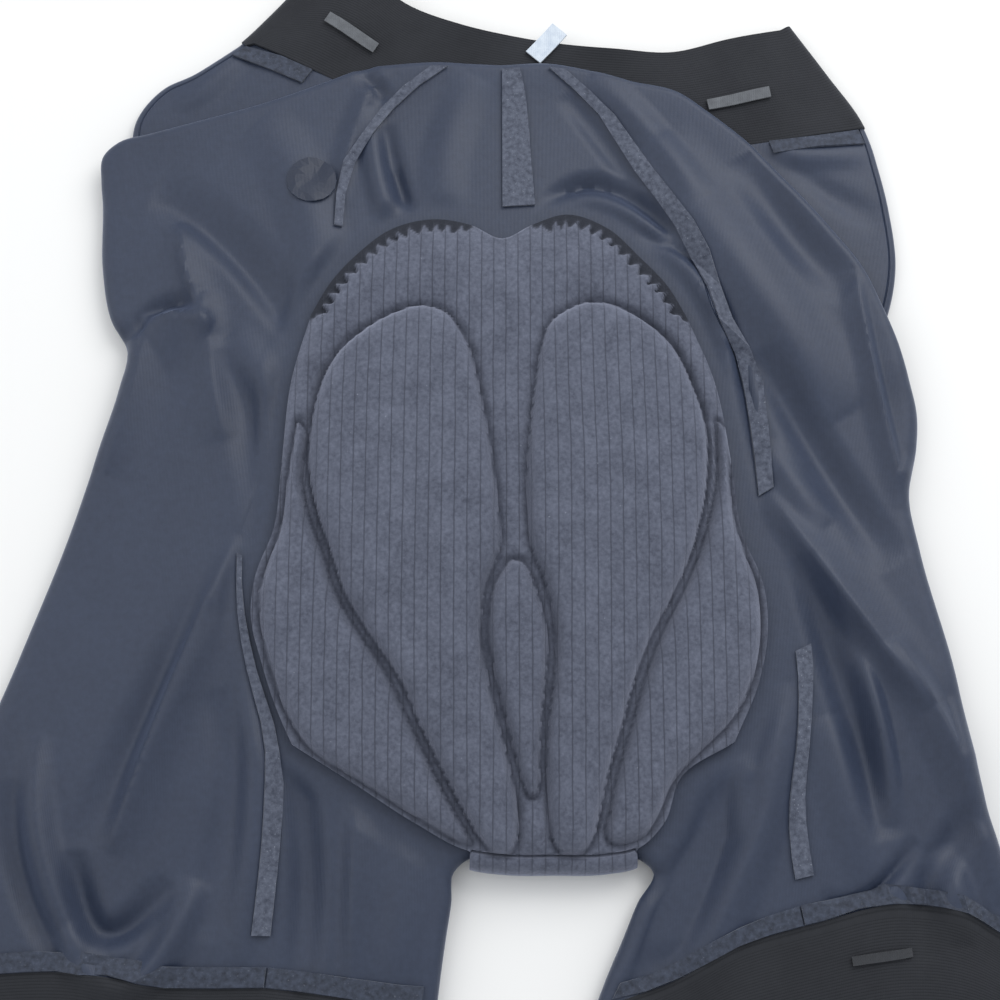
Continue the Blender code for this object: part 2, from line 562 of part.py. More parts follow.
# Middle sheets
class Sheet:
    """Points with normals, and the quads between them."""

    def __init__(self):
        self.points, self.normals, self.quads = [], [], []

    def add(self, points, normals):
        shape = points.shape[:-1]
        first = len(self.points)
        self.points.extend(points.reshape(-1, 3))
        self.normals.extend(normals.reshape(-1, 3))
        return np.arange(first, first + int(np.prod(shape))).reshape(shape)

    def join(self, grid):
        for row in range(grid.shape[0] - 1):
            for column in range(grid.shape[1] - 1):
                self.quads.append((grid[row, column], grid[row, column + 1],
                                   grid[row + 1, column + 1], grid[row + 1, column]))

    def draw_in(self, line, towards, distance):
        """Moves a line of points a little towards the line beside it."""
        for index, neighbour in zip(np.ravel(line), np.ravel(towards)):
            run = self.points[neighbour] - self.points[index]
            self.points[index] = self.points[index] + run / np.linalg.norm(run) * distance


def patch(top, bottom, left, right):
    """A grid between four edges that meet at their ends."""
    rows, cols = len(left), len(top)
    across = np.linspace(0, 1, cols)[None, :, None]
    down = np.linspace(0, 1, rows)[:, None, None]
    plain = ((1 - across) * (1 - down) * top[0] + across * (1 - down) * top[-1]
             + (1 - across) * down * bottom[0] + across * down * bottom[-1])
    return ((1 - down) * top[None] + down * bottom[None] + (1 - across) * left[:, None]
            + across * right[:, None] - plain)


def rolled(edge, top_heights):
    """Rings of points from the top of a rolled edge round to the cloth that runs back under it."""
    place, roll, low, back, away = edge[:, :2], edge[:, 2], edge[:, 3], edge[:, 4], edge[:, 5:7]
    start = turn_in(edge)
    middle, half = (top_heights + low) / 2, (top_heights - low) / 2
    points, normals = [], []
    for angle in ROLL_ANGLES:
        turn = math.radians(angle)
        plan = start + away * (roll * math.cos(turn))[:, None]
        points.append(np.column_stack([plan, middle + half * math.sin(turn)]))
        lean = np.column_stack([away * (math.cos(turn) / roll)[:, None], math.sin(turn) / half])
        normals.append(lean / np.linalg.norm(lean, axis=1)[:, None])
    if back.max() > 0:
        plan = start - away * np.maximum(back, 1.2)[:, None]
        points.append(np.column_stack([plan, low]))
        normals.append(np.tile([0.0, 0.0, -1.0], (len(edge), 1)))
    return np.stack(points, axis=1), np.stack(normals, axis=1)


def panel(plan, level, rims):
    """A sheet on a height function.

    rims are pairs of an edge and the border of the grid that it rolls, as index pairs of rows and
    columns.  Returns the sheet and the grid of its point numbers.
    """
    sheet = Sheet()
    grid = sheet.add(*surface(level, plan[..., 0], plan[..., 1]))
    sheet.join(grid)
    rings = []
    for edge, rows, cols in rims:
        border = grid[rows, cols]
        tops = np.array([sheet.points[index][2] for index in border])
        points, normals = rolled(edge, tops)
        ring = np.column_stack([border, sheet.add(points, normals)])
        sheet.join(ring)
        rings.append(ring)
    return sheet, grid, rings


# Solids
def colour_of(name):
    material = bpy.data.materials.get(name) or bpy.data.materials.new(name)
    material.use_nodes = True
    shader = material.node_tree.nodes["Principled BSDF"]
    shader.inputs["Base Color"].default_value = PLAIN[name]
    shader.inputs["Roughness"].default_value = 0.85 if name in ("pad", "elastic", "seam") else 0.55
    shader.inputs["Metallic"].default_value = 0.0
    return material


def make_object(name, points, faces, colour):
    mesh = bpy.data.meshes.new(name)
    mesh.from_pydata([tuple((point - (*ORIGIN, 0.0)) * MM) for point in points], [], faces)
    solid = bmesh.new()
    solid.from_mesh(mesh)
    bmesh.ops.recalc_face_normals(solid, faces=solid.faces)
    solid.to_mesh(mesh)
    solid.free()
    mesh.materials.append(colour_of(colour).copy())
    mesh.materials[0].name = name + "_" + colour
    mesh.shade_smooth()
    mesh.set_sharp_from_angle(angle=math.radians(40))
    item = bpy.data.objects.new(name, mesh)
    bpy.context.scene.collection.objects.link(item)
    return item


def wall(name, outer, inner, quads, colour):
    """A closed solid between two faces of a sheet, with rims round its open edges."""
    count = len(outer)
    points = np.vstack([outer, inner])
    points[:, 2] = np.maximum(points[:, 2], 0.0)
    faces, uses = [], {}
    for a, b, c, d in quads:
        faces += [(a, b, c), (a, c, d)]
        faces += [(count + a, count + c, count + b), (count + a, count + d, count + c)]
        for edge in ((a, b), (b, c), (c, d), (d, a)):
            uses.setdefault(frozenset(edge), []).append(edge)
    for edges in uses.values():
        if len(edges) == 1:
            a, b = edges[0]
            faces += [(b, a, count + a), (b, count + a, count + b)]
    return make_object(name, points, [tuple(int(i) for i in face) for face in faces], colour)


def cloth(name, sheet, thickness, colour):
    points, normals = np.array(sheet.points), np.array(sheet.normals)
    return wall(name, points + normals * thickness / 2, points - normals * thickness / 2, sheet.quads, colour)


def raised(name, sheet, grid, base, thickness, colour, gap=SEAM_GAP):
    """A strip or plate made from some of a sheet's own points, moved out."""
    index = np.ravel(grid)
    points = np.array(sheet.points)[index]
    normals = np.array(sheet.normals)[index]
    strip = Sheet()
    strip.join(np.arange(len(index)).reshape(grid.shape))
    low = base / 2 + gap
    return wall(name, points + normals * (low + thickness), points + normals * low, strip.quads, colour)


# Shared edges
OUT_LEFT = edge_curve(EDGE_LEFT, -1, (0, 1))
OUT_RIGHT = edge_curve(EDGE_RIGHT, 1, (0, 1))
IN_LEFT = edge_curve(INNER_LEFT, 1, (0, -1))
IN_RIGHT = edge_curve(INNER_RIGHT, -1, (0, -1))


def along_grip(edge, seam_point, blend=4):
    """Turns the last stations of an edge so that its roll follows the gripper's seam line."""
    away = edge[-1, :2] - np.array(seam_point)
    away /= np.linalg.norm(away)
    for step in range(blend):
        share = 1 - step / blend
        mixed = edge[-1 - step, 5:7] * (1 - share) + away * share
        edge[-1 - step, 5:7] = mixed / np.linalg.norm(mixed)
    return edge


class Half:
    """The stations that the panels of one half share."""

    def __init__(self, out, inner, long_seam, leg_seam, corner, grip_outer, grip_inner):
        seam_at = nearest(turn_in(out), long_seam[0].x, long_seam[0].y)
        corner_at = nearest(out, *corner)
        self.flap_back = stations(out[:seam_at + 1], BACK_COLUMNS, first=SEAM_WIDTH)
        self.flap_side = stations(out[seam_at:corner_at + 1], SIDE_COLUMNS, first=SEAM_WIDTH)
        self.outer = along_grip(stations(out[corner_at:], HIP_ROWS + LEG_ROWS, last=SEAM_WIDTH), grip_outer[1])
        self.inner = along_grip(stations(inner, LEG_ROWS, last=SEAM_WIDTH), grip_inner[-2])
        self.centre = stations(smooth(CENTRE_SEAM), HIP_ROWS, crowd=CENTRE_CROWD)
        self.centre[0], self.centre[-1] = turn_in(self.flap_back)[0], turn_in(self.inner)[0]
        self.hip_seam = stations(smooth(long_seam), HIP_ROWS)
        self.hip_seam[0] = turn_in(self.flap_side)[0]
        self.leg_seam = stations(smooth(leg_seam), LEG_ROWS, last=SEAM_WIDTH)
        self.yoke = stations(np.vstack([self.centre[-1:], self.hip_seam[-1:]]), BACK_COLUMNS)
        self.grip_outer = stations(smooth(grip_outer)[::-1], SIDE_COLUMNS, first=SEAM_WIDTH)
        self.grip_outer[0], self.grip_outer[-1] = self.leg_seam[-1], turn_in(self.outer)[-1]
        self.grip_inner = stations(smooth(grip_inner), BACK_COLUMNS)
        self.grip_inner[0], self.grip_inner[-1] = self.leg_seam[-1], turn_in(self.inner)[-1]


HALVES = {
    "left": Half(OUT_LEFT, IN_LEFT, LONG_SEAM_LEFT, LEG_SEAM_LEFT, CORNER_LEFT, GRIP_SEAM_LEFT,
                 GRIP_SEAM_LEFT_INNER),
    "right": Half(OUT_RIGHT, IN_RIGHT, LONG_SEAM_RIGHT, LEG_SEAM_RIGHT, CORNER_RIGHT, GRIP_SEAM_RIGHT,
                  GRIP_SEAM_RIGHT_INNER),
}


def seam_inset(sheet, grid, sides):
    """Opens the seam gap along the named sides of a grid."""
    lines = {"top": (grid[0], grid[1]), "bottom": (grid[-1], grid[-2]),
             "first": (grid[:, 0], grid[:, 1]), "last": (grid[:, -1], grid[:, -2])}
    for side in sides:
        sheet.draw_in(*lines[side], SEAM_OPEN)


def ring_inset(sheet, rings, starts=True, ends=True):
    for ring in rings:
        if starts:
            sheet.draw_in(ring[0, 1:], ring[1, 1:], SEAM_OPEN)
        if ends:
            sheet.draw_in(ring[-1, 1:], ring[-2, 1:], SEAM_OPEN)


def back_panel(name, half):
    plan = patch(turn_in(half.flap_back), half.yoke, half.centre, half.hip_seam)
    rims = [(half.flap_back, 0, slice(None))]
    sheet, grid, rings = panel(plan, height, rims)
    seam_inset(sheet, grid, ("bottom", "first", "last"))
    ring_inset(sheet, rings)
    cloth(name, sheet, CLOTH, "navy")
    return sheet, grid


def side_panel(name, half):
    seam = np.vstack([half.hip_seam, half.leg_seam[1:]])
    top = turn_in(half.flap_side)
    outer = turn_in(half.outer)
    plan = patch(top, half.grip_outer, seam, outer)
    edge = np.vstack([half.flap_side, half.outer[1:]])
    rows = np.concatenate([np.zeros(SIDE_COLUMNS + 1, int), np.arange(1, len(outer))])
    cols = np.concatenate([np.arange(SIDE_COLUMNS + 1), np.full(len(outer) - 1, SIDE_COLUMNS)])
    sheet, grid, rings = panel(plan, height, [(edge, rows, cols)])
    seam_inset(sheet, grid, ("bottom", "first"))
    ring_inset(sheet, rings)
    cloth(name, sheet, CLOTH, "navy")
    return sheet, grid


def inner_panel(name, half):
    plan = patch(half.yoke[::-1], half.grip_inner, half.leg_seam, turn_in(half.inner))
    sheet, grid, rings = panel(plan, height, [(half.inner, slice(None), -1)])
    seam_inset(sheet, grid, ("top", "bottom", "first"))
    ring_inset(sheet, rings)
    cloth(name, sheet, CLOTH, "navy")
    return sheet, grid


# The waistband and the stretch below it
WAIST_SPLIT = 0.5
EDGE_BAND = {"left": edge_curve(EDGE_WAIST_LEFT, -1), "right": edge_curve(EDGE_WAIST_RIGHT, 1)}


def band_parts(side):
    """The outer edge beside the waistband and the edge beside the stretch below it."""
    curve = EDGE_BAND[side]
    seam_row = (EDGE_WAIST_LEFT if side == "left" else EDGE_WAIST_RIGHT)[2]
    split = nearest(curve, seam_row.x, seam_row.y)
    return curve[:split + 1], curve[split:]


def waist_stations(side):
    """Stations along the waistband's seam from the side edge to the centre back."""
    outer = turn_in(band_parts(side)[1])[0]
    seam = smooth(WAIST_SEAM)
    middle = nearest(seam, WAIST_SPLIT, 153)
    run = seam[:middle + 1] if side == "left" else seam[middle:][::-1]
    line = stations(run, WAIST_COLUMNS)
    line[0] = outer
    return line


def upper_panel(side):
    edge = stations(band_parts(side)[1], UPPER_ROWS, first=SEAM_WIDTH)
    top = waist_stations(side)
    end = smooth(UPPER_END)
    middle = nearest(end, WAIST_SPLIT, 133)
    run = end[:middle + 1] if side == "left" else end[middle:][::-1]
    bottom = stations(run, WAIST_COLUMNS)
    bottom[0] = turn_in(edge)[-1]
    centre = stations(np.vstack([top[-1:], bottom[-1:]]), UPPER_ROWS, first=SEAM_WIDTH)
    plan = patch(top, bottom, turn_in(edge), centre)
    sheet, grid, rings = panel(plan, upper_height, [(edge, slice(None), 0)])
    seam_inset(sheet, grid, ("top", "last"))
    ring_inset(sheet, rings, ends=False)
    cloth("upper_" + side, sheet, CLOTH, "navy_lower")
    return sheet, grid


def ring_band(name, plan, level, edges, thickness, colour, inset_row=0):
    """A flattened ring of elastic: an upper wall on a height function, two rolls and a flat lower wall."""
    sheet = Sheet()
    upper = sheet.add(*surface(level, plan[..., 0], plan[..., 1]))
    flat = np.dstack([plan, np.full(plan.shape[:2], thickness / 2)])
    lower = sheet.add(flat, np.tile([0.0, 0.0, -1.0], (*plan.shape[:2], 1)))
    turns = []
    for edge, column in zip(edges, (0, -1)):
        tops = np.array([sheet.points[index][2] for index in upper[:, column]])
        points, normals = rolled(edge, tops)
        turns.append(sheet.add(points[:, :-1], normals[:, :-1]))
    loop = np.hstack([upper, turns[1], lower[:, ::-1], turns[0][:, ::-1], upper[:, :1]])
    sheet.join(loop)
    sheet.draw_in(loop[inset_row, :-1], loop[1 if inset_row == 0 else -2, :-1], SEAM_OPEN)
    cloth(name, sheet, thickness, colour)
    return sheet, upper


def waistband():
    left, right = (stations(band_parts(side)[0], WAIST_ROWS) for side in ("left", "right"))
    seam = np.vstack([waist_stations("left"), waist_stations("right")[::-1][1:]])
    top = stations(smooth(WAIST_TOP), 2 * WAIST_COLUMNS)
    top[0], top[-1] = turn_in(left)[0], turn_in(right)[0]
    plan = patch(top, seam, turn_in(left), turn_in(right))
    return ring_band("waistband", plan, waist_height, (left, right), ELASTIC, "elastic", inset_row=-1)


def gripper(side, half):
    rows = {"left": (EDGE_GRIP_LEFT, INNER_GRIP_LEFT, HEM_LEFT, -1, 1),
            "right": (EDGE_GRIP_RIGHT, INNER_GRIP_RIGHT, HEM_RIGHT, 1, -1)}[side]
    outer_rows, inner_rows, hem_rows, outer_side, inner_side = rows
    outer = stations(edge_curve(outer_rows, outer_side), GRIP_ROWS)
    inner = stations(edge_curve(inner_rows, inner_side), GRIP_ROWS)
    outer[0, 5:7], inner[0, 5:7] = half.outer[-1, 5:7], half.inner[-1, 5:7]
    seam = np.vstack([half.grip_outer[::-1], half.grip_inner[1:]])
    hem = stations(smooth(hem_rows), len(seam) - 1)
    hem[0], hem[-1] = turn_in(outer)[-1], turn_in(inner)[-1]
    plan = patch(seam, hem, turn_in(outer), turn_in(inner))
    return ring_band("grip_" + side, plan, height, (outer, inner), ELASTIC, "elastic")


# The layers underneath
def front_panel(side, half):
    upper_edge = stations(band_parts(side)[1], 8)
    grounded = half.outer[half.outer[:, 3] < 1]
    outer_line = np.vstack([turn_end(upper_edge), turn_end(grounded)])
    outer = stations(outer_line, FRONT_ROWS)
    inner_line = np.vstack([stations(smooth(CENTRE_SEAM[:4]), 20)[2:], turn_end(half.inner)])
    seam = smooth(WAIST_SEAM)
    middle = nearest(seam, WAIST_SPLIT, 153)
    run = seam[:middle + 1][::-1] if side == "left" else seam[middle:]
    start = nearest(run, *outer[0])
    top = stations(run[:start + 1], FRONT_COLUMNS)
    top[-1] = outer[0]
    inner = stations(np.vstack([top[:1], inner_line[inner_line[:, 1] < top[0, 1] - 3]]), FRONT_ROWS)
    grip = np.vstack([half.grip_outer[::-1], half.grip_inner[1:]])
    low, high = nearest(grip, *outer[-1]), nearest(grip, *inner[-1])
    bottom = stations(np.vstack([outer[-1:], grip[low + 1:high], inner[-1:]]), FRONT_COLUMNS)[::-1]
    plan = patch(top, bottom, inner, outer)
    sheet, grid, _ = panel(plan, lambda x, y: CLOTH / 2 + underlay(x, y), [])
    seam_inset(sheet, grid, ("first",))
    sheet.draw_in(grid[0], grid[1], FRONT_OPEN)
    sheet.draw_in(grid[-1], grid[-2], FRONT_OPEN)
    cloth("front_" + side, sheet, CLOTH, "navy_lower")


def tucked_fold():
    """The hidden layers of the fold below the waist, as one slab with rounded edges."""
    line = stations(smooth(UPPER_END[1:-1]), LAYERS_STEPS)
    away = outward(line, -1, window=1)
    middle, half = (LAYERS_LOW + LAYERS_HIGH) / 2, (LAYERS_HIGH - LAYERS_LOW) / 2
    points = []
    for angle in range(0, 360, 45):
        turn = math.radians(angle)
        width = LAYERS_WIDTH / 2 * (1 + math.copysign(abs(math.cos(turn))**0.4, math.cos(turn)))
        level = middle + half * math.copysign(abs(math.sin(turn))**0.5, math.sin(turn))
        points.append(np.column_stack([line + away * (width + CLOTH), np.full(len(line), level)]))
    rings = np.stack(points, axis=1)
    count = rings.shape[1]
    faces = []
    for step in range(len(line) - 1):
        for turn in range(count):
            a, b = step * count + turn, step * count + (turn + 1) % count
            faces += [(a, b, b + count), (a, b + count, a + count)]
    for first in (0, (len(line) - 1) * count):
        faces += [(first, first + turn, first + turn + 1) for turn in range(1, count - 1)]
    make_object("tucked_fold", rings.reshape(-1, 3), faces, "navy_lower")


# The pad
def pad_level(x, y):
    return height(x, y) + CLOTH / 2 + PAD_CLEARANCE + PAD_CLOTH / 2


def pad_base():
    top = stations(smooth(PAD_TOP), PAD_COLUMNS)
    fold = smooth(PAD_FOLD)
    first, last = (int(np.argmin(np.abs(fold[:, 0] - x))) for x in CROTCH_TURN)
    beside = (PAD_COLUMNS - TURN_COLUMNS) // 2
    bottom = np.vstack([stations(fold[:first + 1], beside)[:-1], stations(fold[first:last + 1], TURN_COLUMNS),
                        stations(fold[last:], beside)[1:]])
    left, right = stations(smooth(PAD_LEFT), PAD_ROWS), stations(smooth(PAD_RIGHT), PAD_ROWS)
    sheet = Sheet()
    plan = patch(top, bottom, left, right)
    grid = sheet.add(*surface(pad_level, plan[..., 0], plan[..., 1]))
    sheet.join(grid)
    border = grid[-1, beside:beside + TURN_COLUMNS + 1]
    place = np.array([sheet.points[index] for index in border])
    share = (place[:, 0] - place[0, 0]) / (place[-1, 0] - place[0, 0])
    edge = np.zeros((len(border), 7))
    edge[:, 0], edge[:, 1] = place[:, 0], place[:, 1] - PAD_TONGUE_ROLL
    edge[:, 2], edge[:, 3], edge[:, 6] = PAD_TONGUE_ROLL, PAD_CLOTH / 2, -1
    points, normals = rolled(edge, place[:, 2])
    runs = []
    for row in PAD_RETURN[1:]:
        runs.append(np.column_stack([row.left + share * (row.right - row.left), np.full(len(share), row.y),
                                     np.full(len(share), PAD_CLOTH / 2)]))
    runs = np.stack(runs, axis=1)
    down = np.tile([0.0, 0.0, -1.0], (*runs.shape[:2], 1))
    ring = np.column_stack([border, sheet.add(points, normals), sheet.add(runs, down)])
    sheet.join(ring)
    cloth("pad_base", sheet, PAD_CLOTH, "pad")


def pillow(name, rows, crown, cols=7, steps=15, gap=0.5):
    """A padded form lying on the pad, between the left and right sides given at each row."""
    data = columns(rows)
    along = lengths(data[:, [1, 0]])
    places = along[-1] * (0.5 - 0.5 * np.cos(np.linspace(0, math.pi, steps + 1)) * 0.35
                          - 0.65 * (0.5 - np.linspace(0, 1, steps + 1)))
    y, left, right = (np.interp(places, along, data[:, column]) for column in range(3))
    share = np.linspace(0, 1, cols + 1)
    plan_x = left[:, None] + (right - left)[:, None] * share
    plan_y = np.repeat(y[:, None], cols + 1, axis=1)
    across = 1 - np.abs(2 * share - 1)**3
    down = 1 - np.abs(2 * np.linspace(0, 1, steps + 1) - 1)**8
    swell = LOBE_EDGE + crown * np.sqrt(across[None] * down[:, None])
    base = pad_level(plan_x, plan_y) + PAD_CLOTH / 2 + gap
    sheet = Sheet()
    sheet.join(np.arange(plan_x.size).reshape(plan_x.shape))
    lower = np.stack([plan_x, plan_y, base], axis=-1).reshape(-1, 3)
    upper = np.stack([plan_x, plan_y, base + swell], axis=-1).reshape(-1, 3)
    wall(name, upper, lower, sheet.quads, "pad")


def pad_forms():
    pillow("pad_lobe_left", LOBE_LEFT, LOBE_CROWN)
    pillow("pad_lobe_right", LOBE_RIGHT, LOBE_CROWN)
    pillow("pad_keel", KEEL, LOBE_CROWN - 2, cols=5, steps=9)
    pillow("pad_wing_left", WING_LEFT, LOBE_CROWN - 1.5, cols=6, steps=13)
    pillow("pad_wing_right", WING_RIGHT, LOBE_CROWN - 1.5, cols=6, steps=13)


# Trims
TRIM_GROUND = {
    "pad": (pad_level, PAD_CLOTH / 2 + LABEL_GAP), "waist": (waist_height, ELASTIC / 2 + TRIM_GAP),
    "leg": (height, ELASTIC / 2 + GRIP_TRIM_GAP),
}


def laid(trim, level, base):
    """A thin plate that follows a height function, base off its middle, turned by its angle in degrees."""
    turn = math.radians(trim.angle)
    along = np.linspace(-trim.length / 2, trim.length / 2, TRIM_CELLS[0] + 1)[:, None]
    across = np.linspace(-trim.width / 2, trim.width / 2, TRIM_CELLS[1] + 1)[None]
    x = trim.x + along * math.cos(turn) - across * math.sin(turn)
    y = trim.y + along * math.sin(turn) + across * math.cos(turn)
    points, normals = surface(level, x, y)
    sheet = Sheet()
    sheet.join(np.arange(x.size).reshape(x.shape))
    points, normals = points.reshape(-1, 3), normals.reshape(-1, 3)
    wall(trim.name, points + normals * (base + TRIM_WALL), points + normals * base, sheet.quads, trim.colour)


def dropped_disc(name, target, centre, radius, thickness, colour):
    """A thin round plate that lies on a solid's upper face."""
    depsgraph = bpy.context.evaluated_depsgraph_get()
    tree = BVHTree.FromObject(bpy.data.objects[target], depsgraph)
    points = [centre]
    rings, around = 3, 18
    for ring in range(1, rings + 1):
        for step in range(around):
            turn = 2 * math.pi * step / around
            reach = radius * ring / rings
            points.append((centre[0] + reach * math.cos(turn), centre[1] + reach * math.sin(turn)))
    lower = []
    for x, y in points:
        start = Vector(((x - ORIGIN[0]) * MM, (y - ORIGIN[1]) * MM, 0.2))
        hit = tree.ray_cast(start, Vector((0, 0, -1)))[0]
        lower.append((x, y, hit.z / MM + DISC_GAP))
    lower = np.array(lower)
    faces = [(0, 1 + step, 1 + (step + 1) % around) for step in range(around)]
    for ring in range(rings - 1):
        for step in range(around):
            a, b = 1 + ring * around + step, 1 + ring * around + (step + 1) % around
            faces += [(a, a + around, b + around), (a, b + around, b)]
    count = len(lower)
    faces += [tuple(count + index for index in reversed(face)) for face in faces]
    rim = 1 + (rings - 1) * around
    for step in range(around):
        a, b = rim + step, rim + (step + 1) % around
        faces += [(a, count + a, count + b), (a, count + b, b)]
    upper = lower + np.array([0, 0, thickness])
    make_object(name, np.vstack([upper, lower]), faces, colour)


def strips(side, side_sheet, side_grid, inner_sheet, inner_grid):
    """Overlocked seams down the side panel and the flat seam above the gripper."""
    shown = SEAM_SHOWN[side]
    raised("seam_" + side + "_upper", side_sheet, side_grid[:shown.upper_end, :2], CLOTH, SEAM_WALL, "seam")
    raised("seam_" + side + "_lower", side_sheet, side_grid[shown.lower_start:-2, :2], CLOTH, SEAM_WALL, "seam")
    raised("seam_grip_" + side + "_outer", side_sheet, side_grid[-2:], CLOTH, SEAM_WALL, "seam")
    raised("seam_grip_" + side + "_inner", inner_sheet, inner_grid[-2:], CLOTH, SEAM_WALL, "seam")


def build():
    for item in list(bpy.data.objects):
        bpy.data.objects.remove(item)
    waistband()
    for side, half in HALVES.items():
        back_sheet, back_grid = back_panel("back_" + side, half)
        side_sheet, side_grid = side_panel("side_" + side, half)
        inner_sheet, inner_grid = inner_panel("inner_leg_" + side, half)
        upper_sheet, upper_grid = upper_panel(side)
        gripper(side, half)
        front_panel(side, half)
        strips(side, side_sheet, side_grid, inner_sheet, inner_grid)
        raised("seam_waist_" + side, upper_sheet, upper_grid[:2, :WAIST_SEAM_SHOWN], CLOTH, SEAM_WALL, "seam")
        if side == "right":
            along = np.array([back_sheet.points[index][1] for index in back_grid[:, 1]])
            shown = np.flatnonzero(along > CENTRE_SEAM_END)
            raised("seam_centre_back", back_sheet, back_grid[shown, :2], CLOTH, SEAM_WALL, "seam")
    tucked_fold()
    pad_base()
    pad_forms()
    for trim in TRIMS:
        level, base = TRIM_GROUND[trim.ground]
        laid(trim, level, base)
    dropped_disc("round_patch", "side_left", PATCH_CENTRE, PATCH_RADIUS, TRIM_WALL, "navy_lower")


if __name__ == "__main__":
    build()
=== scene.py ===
"""The looks of a pair of cycling shorts, turned inside out and laid flat, seat and pad upwards.

Laid out as a Blender add-on: one operator for each group of pieces, one panel that lists them.
Lengths in the tables are millimetres.  X runs across the garment, Y from the legs to the waist and
Z up from the surface it lies on.  Every cloth piece is a middle sheet, a patch between four smooth
edges that is lifted by one height function, and it is given its wall at the end.
"""
import math
from collections import namedtuple

import bpy
import numpy as np
from bpy.props import FloatProperty, FloatVectorProperty, PointerProperty
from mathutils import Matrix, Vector


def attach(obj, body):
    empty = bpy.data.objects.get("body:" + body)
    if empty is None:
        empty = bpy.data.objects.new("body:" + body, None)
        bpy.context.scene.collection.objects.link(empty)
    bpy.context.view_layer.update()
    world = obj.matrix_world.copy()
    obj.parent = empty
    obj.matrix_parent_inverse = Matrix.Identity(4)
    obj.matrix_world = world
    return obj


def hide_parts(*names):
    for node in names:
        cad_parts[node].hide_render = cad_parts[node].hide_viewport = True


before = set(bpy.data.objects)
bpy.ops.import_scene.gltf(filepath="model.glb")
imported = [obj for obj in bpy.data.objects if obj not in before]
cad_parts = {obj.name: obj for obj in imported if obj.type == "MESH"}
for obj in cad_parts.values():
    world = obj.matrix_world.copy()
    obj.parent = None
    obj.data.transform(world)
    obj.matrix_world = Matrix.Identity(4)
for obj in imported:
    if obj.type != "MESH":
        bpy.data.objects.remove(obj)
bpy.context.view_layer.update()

bl_info = {
    "name": "Cycling Shorts Laid Flat",
    "version": (1, 0, 0),
    "blender": (4, 5, 0),
    "location": "3D View > Sidebar > Shorts",
    "description": "Builds the cloth, pad and elastics of cycling shorts round their CAD frame",
    "category": "Object",
}

MM = 0.001
ORIGIN = (-1.24, -7.39)
CLOTH = 1.2
ELASTIC = 1.4
PAD_CLOTH = 3.0
PAD_CLEARANCE = 0.8
WAIST_LEVEL = 5.0
FLAP_LEVEL = 11.0
LEG_LEVEL = 9.0
HEM_LEVEL = 7.5
PAD_MARGIN = 5.0
PAD_SHADOW = 9.0
LAYER_REACH = 44.0
UNDERLAY_MARGIN = 24.0
LEAST_OVER_LAYERS = 6.9
LEAST_OVER_FRONT = 3.2
PAD_TONGUE_ROLL = 5.0
PAD_RETURN_RISE = 3.5
CROTCH_TURN = (-11.0, 50.5)
ROLL_STEPS = 11
HEM_START = -165.0
HEM_RUN = 60.0
FLAP_STIFFNESS = 3.0

# The waistband's waves: two troughs beside a crest, and a bulge at the left
WAVE_MIDDLE = 44.0
WAVE_HALF = 31.0
WAVE_RISE = 1.6
WAVE_SWING = 1.8
WAVE_FADE = (50.0, 60.0)
BULGE_MIDDLE = -62.0
BULGE_REACH = 18.0

# The floor, the lights and the camera's view
FLOOR_SIZE = 6.0
FLOOR_DROP = 0.0004
LIGHTS = (("main_light", 0.9, 1.0, (0.55, 0.75, 0.9)), ("fill_light", 1.2, 0.35, (-0.9, 0.2, 0.9)))
TARGET_HEIGHT = 0.010
SENSOR = 36.0
HALF_VIEW = 0.26
NEAREST_SEEN = 0.01
SKY_COLOUR = (0.93, 0.96, 1.0, 1.0)

# Outer edges, read from the centre back along the fold below the waist and down the leg.
# roll is the edge's radius in plan, low the height where the rolled cloth ends, back how far it
# then runs inwards.
Edge = namedtuple("Edge", "x y roll low back")
EDGE_LEFT = (
    Edge(0.5, 186.6, 2.6, 6.6, 3),
    Edge(-12, 187.2, 2.6, 6.6, 3),
    Edge(-25, 188.0, 2.6, 6.6, 3),
    Edge(-42, 187.0, 2.6, 6.6, 3),
    Edge(-58, 184.6, 2.6, 6.6, 3),
    Edge(-70, 179.8, 2.6, 6.6, 3),
    Edge(-98, 169.0, 2.6, 6.6, 3),
    Edge(-123, 161.4, 2.6, 6.6, 3),
    Edge(-144, 155.4, 2.8, 6.6, 2),
    Edge(-156, 152.0, 3.4, 6.6, 0),
    Edge(-162.5, 146, 4.2, 5.2, 0),
    Edge(-163, 136, 5.5, 1.8, 5),
    Edge(-162, 126, 6, 0.6, 13),
    Edge(-160.5, 97.5, 6, 0.6, 14),
    Edge(-156, 76, 6, 0.6, 14),
    Edge(-148.5, 62, 5, 0.6, 14),
    Edge(-151, 46, 6, 0.6, 14),
    Edge(-158, 21, 6, 0.6, 14),
    Edge(-168, -15, 6, 0.6, 14),
    Edge(-184, -62, 6, 0.6, 14),
    Edge(-200, -108, 6, 0.6, 14),
    Edge(-206.5, -145, 6, 0.6, 14),
    Edge(-208, -181, 6, 0.6, 14),
)
